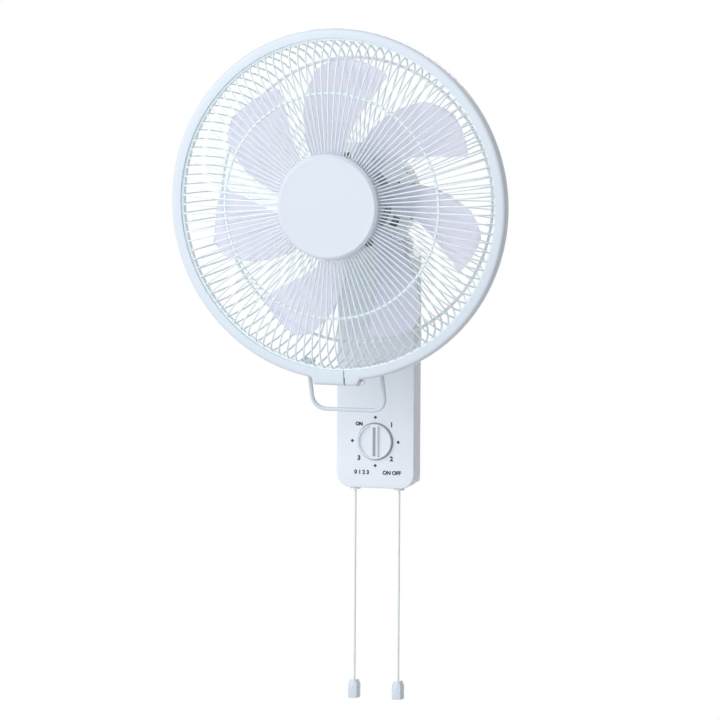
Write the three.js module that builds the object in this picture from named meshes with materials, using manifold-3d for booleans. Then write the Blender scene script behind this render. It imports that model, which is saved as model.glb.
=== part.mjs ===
// Wall mounted fan: a head with a wire guard, seven blades and an induction motor, which
// swings and tilts on a neck above a slim control box that hangs on a steel wall bracket.
//
// Millimetres, +Z up. The origin is on the wall, in the middle of the bracket's four screw
// holes. The fan faces -Y. "Out" is a distance from the wall, along -Y.
// In the head's own frame, +Y runs back towards the wall from the middle of the guard ring.

import * as THREE from "three";
import { mergeVertices } from "three/addons/utils/BufferGeometryUtils.js";
import Module from "manifold-3d";

const wasm = await Module();
wasm.setup();

// ---------------------------------------------------------------- driving dimensions

const GAP = 0.3; // clearance between neighbouring pieces
const WALL = 2.2; // moulded wall thickness
const CURVE_STEPS = 4; // steps of a curve in an outline, twice as many for an arc

// Control box
const BOX_WIDTH = 84;
const BOX_HEIGHT = 249;
const BOX_BELOW_ORIGIN = 130;
const BOX_CORNER_R = 15;
const BOX_EDGE_ROUND = 2.5;
const COVER_DEPTH = 22;
const REAR_DEPTH = 57.4;
const REAR_HALF_AT_WALL = 21; // the housing narrows towards the wall
const REAR_INSET = 3;
const REAR_FROM_WALL = 0.6;
const TOP_ROUND_OUT = 52; // how far the rounded top runs back from the front face
const TOP_ROUND_DROP = 50; // and how far it falls
const BACK_WALL = 3.6;
const SCREW_R = 1.5;
const SCREW_HEAD_R = 3.1;
const SCREW_HEAD = 2.2;
const SCREW_POST_R = 5;
const SCREW_BOSS_R = 4.2;
const SCREW_FROM_SIDE = 9;
const SCREW_FROM_BOTTOM = 12;
const SCREW_BELOW_SHELF = 10;
const COVER_SCREW_LENGTH = 15;
const LOCK_SCREW_LENGTH = 8;
const GLAND_R = 5;
const GLAND_BORE_R = 3.2;
const GLAND_FLANGE = 1.6;
const GLAND_RISE = 5.2;
const GLAND_OUT = 30;
const TERMINAL_WIDTH = 28;
const TERMINAL_HEIGHT = 16;
const TERMINAL_DEPTH = 12;
const TERMINAL_Z = -66;
const CAPACITOR_WIDTH = 34;
const CAPACITOR_HEIGHT = 26;
const CAPACITOR_DEPTH = 22;
const CAPACITOR_Z = -14;

// Wall bracket
const BRACKET_WIDTH = 38;
const BRACKET_TOP = 60;
const BRACKET_SHEET = 1.6;
const BRACKET_HOLE_R = 2.5;
const BRACKET_HOLE_X = 12;
const BRACKET_HOLE_Z = 50;
const HOOK_X = 11;
const HOOK_Z = 22;
const HOOK_WIDTH = 8;
const HOOK_LIP = 8;
const HOOK_CLEAR = 1.5; // lip ahead of the housing's back wall
const FLANGE_WIDTH = 26;
const FLANGE_OUT = 16;
const LOCK_SCREW_OUT = 9;

// Timer and pull switches
const DIAL_ABOVE_BOTTOM = 48;
const KNOB_R = 18.5;
const KNOB_THICKNESS = 3.6;
const KNOB_BEVEL = 0.8;
const KNOB_CROWN = 1.2;
const KNOB_RIM = 1.7;
const FINGER_HOLLOW = 2.4;
const GRIP_WIDTH = 8;
const SPINDLE_R = 3;
const SPINDLE_SUNK = 11;
const TIMER_SIDE_GAP = 2.2; // to each pull switch
const TIMER_HEIGHT = 44;
const TIMER_DEPTH = 25;
const PULL_FROM_SIDE = 18.3;
const SWITCH_WIDTH = 17;
const SWITCH_HEIGHT = 24;
const SWITCH_DEPTH = 9.4;
const SWITCH_ABOVE_BOTTOM = 26;
const PLUNGER_R = 2.6;
const PLUNGER_LENGTH = 22;
const PLUNGER_SHOWS = 8;
const CORD_R = 1.25;
const CORD_VISIBLE = 198;
const CORD_STEPS = 16;
const CORD_SIDES = 8;
const BUSH_R = 4;
const BUSH_FLANGE = 1.5;
const BUSH_BORE_R = 1.75;
const BUSH_RISE = 4;
const PULL_GRIP_LENGTH = 19;
const PULL_GRIP_WIDTH = 10;
const PULL_GRIP_DEPTH = 11.6;
const PULL_GRIP_TOP = 6; // width at the top
const PULL_GRIP_SHOULDER = 4.5; // height of the slope under it
const PULL_GRIP_EDGE = 1;

// Neck and swing drive
const NECK_OUT = 32;
const BOSS_R = 22;
const BOSS_RISE = 2;
const BOSS_LENGTH = 25;
const SPIGOT_R = 12;
const SPIGOT_BORE_R = 7.5;
const BEARING_WALL = 2.7;
const NECK_DISC_R = 20;
const NECK_DISC = 4.2;
const CHEEK = 6;
const CHEEK_R = 11;
const PIN_RISE = 15.5;
const PIN_R = 3;
const PIN_CUT_HALF = 50; // half the rod that cuts a way for the pin
const TONGUE_WIDTH = 15.4;
const TONGUE_R = 10.5;
const TONGUE_ROOT_LOW = 34; // below the fan axis
const TONGUE_ROOT_HIGH = 13;
const CRANK_AHEAD = 24; // crank axis ahead of the neck axis
const CRANK_THROW = 13.7;
const CRANK_PIN_R = 2;
const CRANK_DISC_R = 16.7;
const CRANK_DISC = 3.2;
const ARM_SHEET = 3;
const ARM_SLACK = 1.4; // play of the crank pin in its slot, each way
const SWING_MOTOR_R = 17.5;
const SWING_MOTOR_HEIGHT = 12.5;
const SWING_SHAFT_R = 2.5;
const TILT_HEAD_R = 5.5;
const TILT_NUT = 4;
const SHELF_BELOW_TOP = 64.5;
const SHELF = 2.5;
const ARM_ABOVE_CRANK = 2;
const ARM_EDGE = 3; // metal beside the slot
const ARM_COLLAR = 5;
const CLIP = 1.6;
const CLIP_WIDTH = 4;

// Head: ring, guards, badge, handle
const HEAD_REACH = 163; // ring plane ahead of the neck axis
const PIN_BELOW_AXIS = 30;
const RING_R = 180;
const RING_WIDTH = 10.5;
const RING_DEPTH = 13;
const RING_CHAMFER = 2;
const RIM_SHOWS = 1.3; // of each guard's rim inside the ring
const RING_SIDES = 48;
const HUB_SIDES = 36;
const RIB_COUNT = 108;
const RIB_WIDTH = 2;
const RIB_WIDTH_AT_HUB = 1.4;
const RIB_DEPTH = 3;
const RING_WIRE_WIDTH = 3;
const RING_WIRE_DEPTH = 2.4;
const FRONT_HUB_R = 50;
const FRONT_HUB_BORE_R = 38;
const FRONT_CROWN = 31.5;
const FRONT_BEND_R = 128;
const FRONT_BEND = 27.5;
const FRONT_SHOULDER_R = 158;
const FRONT_SHOULDER = 17;
const FRONT_RING_R = 115;
const REAR_HUB_R = 58;
const REAR_HUB_BORE_R = 30;
const REAR_CROWN = 56.5;
const REAR_BEND_R = 146;
const REAR_BEND = 50;
const REAR_SHOULDER_R = 160.5;
const REAR_SHOULDER = 31;
const BADGE_R = 54;
const BADGE_DEPTH = 7;
const BADGE_BEVEL = 2.4;
const CLASP_LEFT = 28;
const CLASP_RIGHT = 25;
const CLASP_PROUD = 5;
const CLASP_SLIT_X = 8;
const CLASP_SLIT = 6;
const CLASP_SCREW_R = 1.5;
const CLASP_HEAD_R = 2.8;
const CLASP_SCREW_REACH = 6; // past the middle
const CLASP_SCREW_RISE = 0.8; // above the middle of the lug
const CLASP_HEAD = 2.4;
const HANDLE_WIDTH = 78;
const HANDLE_DROP = 33; // below the ring
const HANDLE_WIRE_R = 2.2;
const HANDLE_CORNER_R = 15;
const HANDLE_ROOT_BACK = 16;
const HANDLE_FOOT_BACK = 34;
const HANDLE_STEPS = 28;
const HANDLE_FOOT = 4;
const HANDLE_FOOT_WIDTH = 12;
const HANDLE_FOOT_LENGTH = 12;

// Blades
const BLADE_COUNT = 7;
const BLADE_R = 148;
const BLADE_DEPTH = 30;
const BLADE_PLANE = 21; // middle of the blades behind the ring plane
const BLADE_THICKNESS = 2;
const BLADE_TURN = 5.6; // first blade, degrees clockwise from straight up
const BLADE_HUB_R = 36;
const BLADE_HUB_DEPTH = 31;
const BLADE_HUB_WALL = 2.5;
// Edges of one blade, in degrees clockwise from its own direction. "at" is the share of the
// way from the hub to the tip, and rise is a share of the blade's depth.
const BLADE_EDGES = [
  { at: 0, trailing: -44, leading: -16, rise: 0.62 },
  { at: 0.175, trailing: -42, leading: -10.5, rise: 0.78 },
  { at: 0.35, trailing: -36.5, leading: -4.5, rise: 0.92 },
  { at: 0.56, trailing: -30.5, leading: 3, rise: 1 },
  { at: 0.7, trailing: -26, leading: 7.5, rise: 1 },
  { at: 0.83, trailing: -21, leading: 10, rise: 0.94 },
  { at: 0.9, trailing: -19, leading: 11.5, rise: 0.84 },
  { at: 0.955, trailing: -17, leading: 6.5, rise: 0.62 },
  { at: 1, trailing: -11.5, leading: -1.5, rise: 0.4 },
];
const BLADE_CHORD_STEPS = 4;
const BLADE_CAMBER = 4.5;
const BLADE_NUT_R = 14;

// Motor
const SHAFT_R = 4;
const SHAFT_AHEAD = 8; // of the ring plane
const MOTOR_R = 52;
const MOTOR_COVER_DEPTH = 41;
const REAR_COVER_DEPTH = 42;
const REAR_COVER_FLAT_R = 26;
const REAR_COVER_DRAW = 4.8; // its middle draws in, to clear the box at full swing and tilt
const NOSE_R = 13;
const NOSE_LENGTH = 14;
const GUARD_NUT_R = 38;
const GUARD_NUT = 5.7;
const BEARING_R = 10;
const BEARING_WIDTH = 7;
const SHIELD = 2.7;
const SHIELD_R = 47;
const SHIELD_RIM = 3;
const STATOR_R = 46;
const STATOR_BORE_R = 24;
const STATOR_DEPTH = 24;
const COIL_INNER_R = 27;
const COIL_OUTER_R = 42;
const FRONT_COIL = 6;
const REAR_COIL = 9;
const ROTOR_AIR_GAP = 0.6;
const VENT_COUNT = 10;
const VENT_WIDTH = 4;
const VENT_LENGTH = 22;
const COVER_SCREW_X = 18;
const COVER_SCREW_Z = 10;

// ---------------------------------------------------------------- derived places

const boxBottom = -BOX_BELOW_ORIGIN;
const boxTop = boxBottom + BOX_HEIGHT;
const rearHousingFront = REAR_FROM_WALL + REAR_DEPTH;
const coverBack = rearHousingFront + GAP;
const coverFront = coverBack + COVER_DEPTH;
const coverInside = coverFront - WALL;
const backWallFront = REAR_FROM_WALL + BACK_WALL;
const rearBottom = boxBottom + REAR_INSET;
const screwSeat = rearHousingFront - WALL;
const pullX = BOX_WIDTH / 2 - PULL_FROM_SIDE;
const timerWidth = 2 * (pullX - SWITCH_WIDTH / 2 - TIMER_SIDE_GAP);
const pullOut = coverInside - GAP - SWITCH_DEPTH / 2;
const dialZ = boxBottom + DIAL_ABOVE_BOTTOM;

const bossTop = boxTop + BOSS_RISE;
const bossBottom = bossTop - BOSS_LENGTH;
const discBottom = bossTop + GAP;
const discTop = discBottom + NECK_DISC;
const pinZ = discTop + PIN_RISE;
const axisZ = pinZ + PIN_BELOW_AXIS;
const ringOut = NECK_OUT + HEAD_REACH;

const bearingR = SPIGOT_R + BEARING_WALL;
const shelfBottom = boxTop - SHELF_BELOW_TOP;
const swingMotorBottom = shelfBottom + SHELF + GAP;
const swingMotorTop = swingMotorBottom + SWING_MOTOR_HEIGHT;
const crankBottom = swingMotorTop + GAP;
const crankTop = crankBottom + CRANK_DISC;
const armBottom = crankTop + ARM_ABOVE_CRANK;
const armTop = armBottom + ARM_SHEET;
const crankOut = NECK_OUT + CRANK_AHEAD;

const channelHalf = RING_DEPTH / 2 - WALL;
const rimDepth = channelHalf - 1.5 * GAP;
const rimMiddle = GAP / 2 + rimDepth / 2;
const rimOuterR = RING_R - WALL - 1.5 * GAP;
const rimInnerR = RING_R - RING_WIDTH - RIM_SHOWS;
const claspScrewR = RING_R + CLASP_PROUD / 2 - CLASP_SCREW_RISE;

const bladeRootR = BLADE_HUB_R - BLADE_HUB_WALL / 2;
const hubFront = BLADE_PLANE - BLADE_HUB_DEPTH / 2;
const hubBack = BLADE_PLANE + BLADE_HUB_DEPTH / 2;

const motorFront = REAR_CROWN + RIB_DEPTH / 2 + GAP; // the rear guard seats on this face
const shieldFront = motorFront + WALL + GAP;
const shieldBack = shieldFront + SHIELD;
const statorFront = shieldBack + FRONT_COIL + 2 * GAP;
const statorBack = statorFront + STATOR_DEPTH;
const bracketFront = statorBack + REAR_COIL + 2 * GAP;
const bracketBack = bracketFront + SHIELD;
const motorCoverBack = motorFront + MOTOR_COVER_DEPTH;
const rearCoverFront = motorCoverBack + GAP;
const rearCoverBack = rearCoverFront + REAR_COVER_DEPTH;
const noseFront = shieldFront - NOSE_LENGTH;

// ---------------------------------------------------------------- finishes

const finish = (color, roughness, metalness = 0) =>
  new THREE.MeshStandardMaterial({ color, roughness, metalness });
const whitePlastic = finish(0xe6ebf4, 0.45);
const bladePlastic = finish(0xdcdcf0, 0.3);
const greyPlastic = finish(0xb8bec8, 0.5);
const darkPlastic = finish(0x3a3c40, 0.6);
const paintedSteel = finish(0xe2e8f2, 0.4, 0.2);
const bareSteel = finish(0xa8acb2, 0.35, 0.9);
const castAlloy = finish(0xb4b6ba, 0.5, 0.8);
const copper = finish(0xb06a3c, 0.4, 0.8);
const cordFibre = finish(0xe0e4ea, 0.8);
const rubber = finish(0x2c2d30, 0.8);

// ---------------------------------------------------------------- geometry helpers

function mesh(name, geometry, material) {
  const made = new THREE.Mesh(geometry, material);
  made.name = name;
  return made;
}

function toSolid(geometry) {
  const bare = (geometry.index ? geometry.toNonIndexed() : geometry).clone();
  bare.deleteAttribute("normal");
  bare.deleteAttribute("uv");
  const merged = mergeVertices(bare, 1e-4);
  return new wasm.Manifold(
    new wasm.Mesh({
      numProp: 3,
      vertProperties: new Float32Array(merged.attributes.position.array),
      triVerts: new Uint32Array(merged.index.array),
    }),
  );
}

function toGeometry(solid) {
  const raw = solid.getMesh();
  const geometry = new THREE.BufferGeometry();
  geometry.setAttribute("position", new THREE.BufferAttribute(raw.vertProperties, 3));
  geometry.setIndex(new THREE.BufferAttribute(raw.triVerts, 1));
  return geometry;
}

function join(...geometries) {
  return toGeometry(geometries.map(toSolid).reduce((a, b) => a.add(b)));
}

function cut(geometry, ...tools) {
  return toGeometry(tools.map(toSolid).reduce((a, b) => a.subtract(b), toSolid(geometry)));
}

function common(a, b) {
  return toGeometry(toSolid(a).intersect(toSolid(b)));
}

// A closed profile of [radius, along] pairs, turned about +Y.
function turned(profile, sides = 20) {
  const points = profile.map(([r, y]) => new THREE.Vector2(r, y));
  const area = THREE.ShapeUtils.area(points);
  if (area < 0) points.reverse();
  const onAxis = points.filter((p) => p.x === 0);
  if (onAxis.length === 0) {
    points.push(points[0].clone());
  } else {
    while (!(points[0].x === 0 && points[points.length - 1].x === 0)) {
      points.push(points.shift());
    }
  }
  return new THREE.LatheGeometry(points, sides);
}

// The same about +Z.
function turnedUp(profile, sides = 20) {
  return turned(profile, sides).rotateX(Math.PI / 2);
}

function rod(r, from, to, sides = 12) {
  return turned([[0, from], [r, from], [r, to], [0, to]], sides);
}

function rodUp(r, from, to, sides = 12) {
  return turnedUp([[0, from], [r, from], [r, to], [0, to]], sides);
}

function tube(inner, outer, from, to, sides = 16) {
  return turned([[inner, from], [outer, from], [outer, to], [inner, to]], sides);
}

function tubeUp(inner, outer, from, to, sides = 16) {
  return turnedUp([[inner, from], [outer, from], [outer, to], [inner, to]], sides);
}

// A block by its lowest and highest corners, where "out" runs from the wall.
function block([x0, x1], [out0, out1], [z0, z1]) {
  return new THREE.BoxGeometry(x1 - x0, out1 - out0, z1 - z0).translate(
    (x0 + x1) / 2,
    -(out0 + out1) / 2,
    (z0 + z1) / 2,
  );
}

// A shape drawn in X and Z, made solid from out0 to out1.
function slab(shape, out0, out1) {
  return new THREE.ExtrudeGeometry(shape, {
    depth: out1 - out0,
    bevelEnabled: false,
    curveSegments: CURVE_STEPS,
  })
    .rotateX(Math.PI / 2)
    .translate(0, -out0, 0);
}

// A shape drawn in out and Z, made solid from x0 to x1.
function sideSlab(shape, x0, x1) {
  const basis = new THREE.Matrix4().makeBasis(
    new THREE.Vector3(0, -1, 0),
    new THREE.Vector3(0, 0, 1),
    new THREE.Vector3(-1, 0, 0),
  );
  return new THREE.ExtrudeGeometry(shape, {
    depth: x1 - x0,
    bevelEnabled: false,
    curveSegments: CURVE_STEPS,
  })
    .applyMatrix4(basis)
    .translate(x1, 0, 0);
}

// ---------------------------------------------------------------- control box

// Three screws hold the cover: two in the bottom corners, one high in the middle.
const screwPlaces = [
  ["left", -(BOX_WIDTH / 2 - SCREW_FROM_SIDE), boxBottom + SCREW_FROM_BOTTOM],
  ["right", BOX_WIDTH / 2 - SCREW_FROM_SIDE, boxBottom + SCREW_FROM_BOTTOM],
  ["top", 0, shelfBottom - SCREW_BELOW_SHELF],
];

// The box seen from the front: round bottom corners and a full round top.
function boxOutline(inset) {
  const half = BOX_WIDTH / 2 - inset;
  const bottom = boxBottom + inset;
  const archZ = boxTop - BOX_WIDTH / 2;
  const corner = BOX_CORNER_R - inset;
  const shape = new THREE.Shape();
  const bend = corner * (1 - (4 / 3) * (Math.SQRT2 - 1)); // a cubic that follows a round corner
  shape.moveTo(-half + corner, bottom);
  shape.lineTo(half - corner, bottom);
  shape.bezierCurveTo(half - bend, bottom, half, bottom + bend, half, bottom + corner);
  shape.lineTo(half, archZ);
  shape.absarc(0, archZ, half, 0, Math.PI);
  shape.lineTo(-half, bottom + corner);
  shape.bezierCurveTo(-half, bottom + bend, -half + bend, bottom, -half + corner, bottom);
  return shape;
}

// The box seen from the side: the top falls away in a quarter ellipse to the front face.
function topRound(inset) {
  const front = coverFront - inset;
  const top = boxTop - inset;
  const centreOut = coverFront - TOP_ROUND_OUT;
  const centreZ = boxTop - TOP_ROUND_DROP;
  const below = 2 * boxBottom;
  const shape = new THREE.Shape();
  shape.moveTo(-10, below);
  shape.lineTo(front, below);
  shape.lineTo(front, centreZ);
  shape.absellipse(centreOut, centreZ, front - centreOut, top - centreZ, 0, Math.PI / 2);
  shape.lineTo(-10, top);
  return sideSlab(shape, -BOX_WIDTH, BOX_WIDTH);
}

// The rear housing seen from above: it narrows from the cover to the wall.
function taper(inset) {
  const atFront = BOX_WIDTH / 2 - REAR_INSET - inset;
  const atWall = REAR_HALF_AT_WALL - inset;
  const shape = new THREE.Shape();
  shape.moveTo(-atWall, 0);
  shape.lineTo(-atFront, -rearHousingFront);
  shape.lineTo(-atFront, -coverFront);
  shape.lineTo(atFront, -coverFront);
  shape.lineTo(atFront, -rearHousingFront);
  shape.lineTo(atWall, 0);
  return new THREE.ExtrudeGeometry(shape, {
    depth: 2 * BOX_HEIGHT,
    bevelEnabled: false,
  }).translate(0, 0, 1.5 * boxBottom);
}

function frontCover() {
  const blank = new THREE.ExtrudeGeometry(boxOutline(BOX_EDGE_ROUND), {
    depth: COVER_DEPTH,
    bevelThickness: BOX_EDGE_ROUND,
    bevelSize: BOX_EDGE_ROUND,
    bevelSegments: 2,
    curveSegments: CURVE_STEPS,
  })
    .rotateX(Math.PI / 2)
    .translate(0, -(coverFront - COVER_DEPTH - BOX_EDGE_ROUND), 0);
  const depthRange = block([-BOX_WIDTH, BOX_WIDTH], [coverBack, coverFront], [-BOX_HEIGHT, BOX_HEIGHT]);
  const outer = common(common(blank, depthRange), topRound(0));
  const hollow = common(slab(boxOutline(WALL), coverBack - 1, coverInside), topRound(WALL));
  const bosses = screwPlaces.map(([, x, z]) =>
    common(rod(SCREW_BOSS_R, -coverInside - 1, -coverBack, 8).translate(x, 0, z), outer),
  );
  const pilots = screwPlaces.map(([, x, z]) =>
    rod(SCREW_R + GAP, -coverInside + 2, -coverBack + 1, 8).translate(x, 0, z),
  );
  const bushHoles = [-pullX, pullX].map((x) =>
    rodUp(BUSH_R + GAP, boxBottom - 1, boxBottom + WALL + 1, 12).translate(x, -pullOut, 0),
  );
  return cut(
    join(cut(outer, hollow), ...bosses),
    ...pilots,
    ...bushHoles,
    rod(SPINDLE_R + 1, -coverFront - 1, -coverInside + 1).translate(0, 0, dialZ),
  );
}

function rearHousing() {
  const inset = REAR_INSET + WALL;
  const outer = common(
    common(
      slab(boxOutline(REAR_INSET), REAR_FROM_WALL, rearHousingFront),
      topRound(REAR_INSET),
    ),
    taper(0),
  );
  const hollow = common(
    common(
      slab(boxOutline(inset), backWallFront, rearHousingFront + 1),
      topRound(inset),
    ),
    taper(WALL),
  );
  const inWalls = common(
    slab(boxOutline(REAR_INSET + WALL / 2), backWallFront - 1, rearHousingFront),
    taper(WALL / 2),
  );
  const posts = screwPlaces.map(([, x, z]) =>
    rod(SCREW_POST_R, -rearHousingFront, -backWallFront + 1, 8).translate(x, 0, z),
  );
  const shelf = block(
    [-BOX_WIDTH / 2, BOX_WIDTH / 2],
    [backWallFront - 1, rearHousingFront],
    [shelfBottom, shelfBottom + SHELF],
  );
  const shelfTongue = block(
    [-SWING_MOTOR_R, SWING_MOTOR_R],
    [rearHousingFront - 1, crankOut + SWING_MOTOR_R],
    [shelfBottom, shelfBottom + SHELF],
  );
  const boss = rodUp(BOSS_R, bossBottom, bossTop, 20).translate(0, -NECK_OUT, 0);
  const solid = join(
    cut(outer, hollow),
    ...posts.map((post) => common(post, inWalls)),
    common(shelf, inWalls),
    shelfTongue,
    boss,
  );
  const screwWays = screwPlaces.flatMap(([, x, z]) => [
    rod(SCREW_HEAD_R + GAP, -screwSeat, 1, 8).translate(x, 0, z),
    rod(SCREW_R + GAP, -rearHousingFront - 1, 1, 8).translate(x, 0, z),
  ]);
  const bracketPocket = block(
    [-BRACKET_WIDTH / 2 - GAP, BRACKET_WIDTH / 2 + GAP],
    [-1, BRACKET_SHEET + GAP],
    [rearBottom - 5, BRACKET_TOP + GAP],
  );
  const hookSlots = [-HOOK_X, HOOK_X].map((x) =>
    block(
      [x - HOOK_WIDTH / 2 - 1, x + HOOK_WIDTH / 2 + 1],
      [0, backWallFront + 1],
      [HOOK_Z - HOOK_LIP - 2, HOOK_Z + GAP],
    ),
  );
  const neckBore = rodUp(bearingR + GAP, bossBottom - 1, bossTop + 1, 20);
  const glandHole = rodUp(GLAND_R + GAP, rearBottom - 1, rearBottom + WALL + 1, 12);
  const lockHole = rodUp(SCREW_R + GAP, rearBottom - 1, rearBottom + WALL + 1, 8);
  return cut(
    solid,
    neckBore.translate(0, -NECK_OUT, 0),
    ...screwWays,
    bracketPocket,
    ...hookSlots,
    glandHole.translate(0, -GLAND_OUT, 0),
    lockHole.translate(0, -LOCK_SCREW_OUT, 0),
  );
}

function wallBracket() {
  const bottom = rearBottom - GAP - BRACKET_SHEET;
  const plate = block(
    [-BRACKET_WIDTH / 2, BRACKET_WIDTH / 2],
    [0, BRACKET_SHEET],
    [bottom, BRACKET_TOP],
  );
  const flange = block(
    [-FLANGE_WIDTH / 2, FLANGE_WIDTH / 2],
    [0, FLANGE_OUT],
    [bottom, bottom + BRACKET_SHEET],
  );
  const lipOut = backWallFront + HOOK_CLEAR;
  const hooks = [-HOOK_X, HOOK_X].flatMap((x) => {
    const across = [x - HOOK_WIDTH / 2, x + HOOK_WIDTH / 2];
    return [
      block(across, [0, lipOut + BRACKET_SHEET], [HOOK_Z - BRACKET_SHEET, HOOK_Z]),
      block(across, [lipOut, lipOut + BRACKET_SHEET], [HOOK_Z - BRACKET_SHEET, HOOK_Z + HOOK_LIP]),
    ];
  });
  const screwHoles = [-1, 1].flatMap((side) =>
    [-1, 1].map((end) =>
      rod(BRACKET_HOLE_R, -BRACKET_SHEET - 1, 1, 8).translate(
        side * BRACKET_HOLE_X,
        0,
        end * BRACKET_HOLE_Z,
      ),
    ),
  );
  const lockHole = rodUp(SCREW_R + GAP, bottom - 1, bottom + BRACKET_SHEET + 1, 8);
  return cut(
    join(plate, flange, ...hooks),
    ...screwHoles,
    lockHole.translate(0, -LOCK_SCREW_OUT, 0),
  );
}

// A pan head screw along +Y, its head's underside at y = 0 and its shank towards -Y.
function screw(length, shankR = SCREW_R, headR = SCREW_HEAD_R, headDepth = SCREW_HEAD) {
  return turned(
    [
      [0, -length],
      [shankR, -length],
      [shankR, 0],
      [headR, 0],
      [0.8 * headR, headDepth],
      [0, headDepth],
    ],
    8,
  );
}

function controlBox() {
  const group = new THREE.Group();
  group.add(mesh("wall_bracket", wallBracket(), bareSteel));
  group.add(mesh("rear_housing", rearHousing(), whitePlastic));
  group.add(mesh("front_cover", frontCover(), whitePlastic));
  for (const [where, x, z] of screwPlaces) {
    const coverScrew = mesh("cover_screw_" + where, screw(COVER_SCREW_LENGTH), bareSteel);
    coverScrew.position.set(x, -screwSeat + GAP, z);
    group.add(coverScrew);
  }
  const lock = mesh("bracket_lock_screw", screw(LOCK_SCREW_LENGTH), bareSteel);
  lock.rotation.x = -Math.PI / 2;
  lock.position.set(0, -LOCK_SCREW_OUT, rearBottom - BRACKET_SHEET - 2 * GAP);
  group.add(lock);

  const gland = turnedUp(
    [
      [GLAND_BORE_R, rearBottom - GLAND_FLANGE - GAP],
      [GLAND_R + GLAND_FLANGE, rearBottom - GLAND_FLANGE - GAP],
      [GLAND_R + GLAND_FLANGE, rearBottom - GAP],
      [GLAND_R, rearBottom - GAP],
      [GLAND_R, rearBottom + GLAND_RISE],
      [GLAND_BORE_R, rearBottom + GLAND_RISE],
    ],
    10,
  );
  group.add(mesh("mains_inlet_gland", gland.translate(0, -GLAND_OUT, 0), rubber));
  const terminals = block(
    [-TERMINAL_WIDTH / 2, TERMINAL_WIDTH / 2],
    [backWallFront + GAP, backWallFront + GAP + TERMINAL_DEPTH],
    [TERMINAL_Z, TERMINAL_Z + TERMINAL_HEIGHT],
  );
  group.add(mesh("terminal_block", terminals, greyPlastic));
  const capacitor = block(
    [-CAPACITOR_WIDTH / 2, CAPACITOR_WIDTH / 2],
    [backWallFront + GAP, backWallFront + GAP + CAPACITOR_DEPTH],
    [CAPACITOR_Z, CAPACITOR_Z + CAPACITOR_HEIGHT],
  );
  group.add(mesh("run_capacitor", capacitor, darkPlastic));
  return group;
}

// ---------------------------------------------------------------- timer and pull switches

function timer() {
  const group = new THREE.Group();
  group.position.z = dialZ;
  const back = coverInside - GAP - TIMER_DEPTH;
  const body = cut(
    block(
      [-timerWidth / 2, timerWidth / 2],
      [back, coverInside - GAP],
      [-TIMER_HEIGHT / 2, TIMER_HEIGHT / 2],
    ),
    rod(SPINDLE_R + GAP, -coverInside, -(coverInside - SPINDLE_SUNK - 1), 12),
  );
  group.add(mesh("timer_mechanism", body, greyPlastic));

  // A disc with a finger hollow on each side of the bar that it is turned by.
  const knobBack = coverFront + GAP;
  const knobFront = knobBack + KNOB_THICKNESS;
  const disc = turned(
    [
      [0, -knobBack],
      [KNOB_R, -knobBack],
      [KNOB_R, -knobFront + KNOB_BEVEL],
      [KNOB_R - KNOB_BEVEL, -knobFront],
      [0, -knobFront],
    ],
    32,
  );
  const hollows = [
    [-KNOB_R, -GRIP_WIDTH / 2],
    [GRIP_WIDTH / 2, KNOB_R],
  ].map((sides) =>
    common(
      block(sides, [knobFront - FINGER_HOLLOW, knobFront + 1], [-KNOB_R, KNOB_R]),
      rod(KNOB_R - KNOB_RIM, -knobFront - 2, -knobBack, 32),
    ),
  );
  const socket = rod(SPINDLE_R + GAP, -knobFront + KNOB_CROWN - GAP, -knobBack + 1, 12);
  group.add(mesh("timer_knob", cut(disc, ...hollows, socket), whitePlastic));
  const spindle = rod(
    SPINDLE_R,
    -knobFront + KNOB_CROWN,
    -(coverInside - SPINDLE_SUNK),
    12,
  );
  group.add(mesh("timer_spindle", spindle, bareSteel));
  return group;
}

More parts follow.
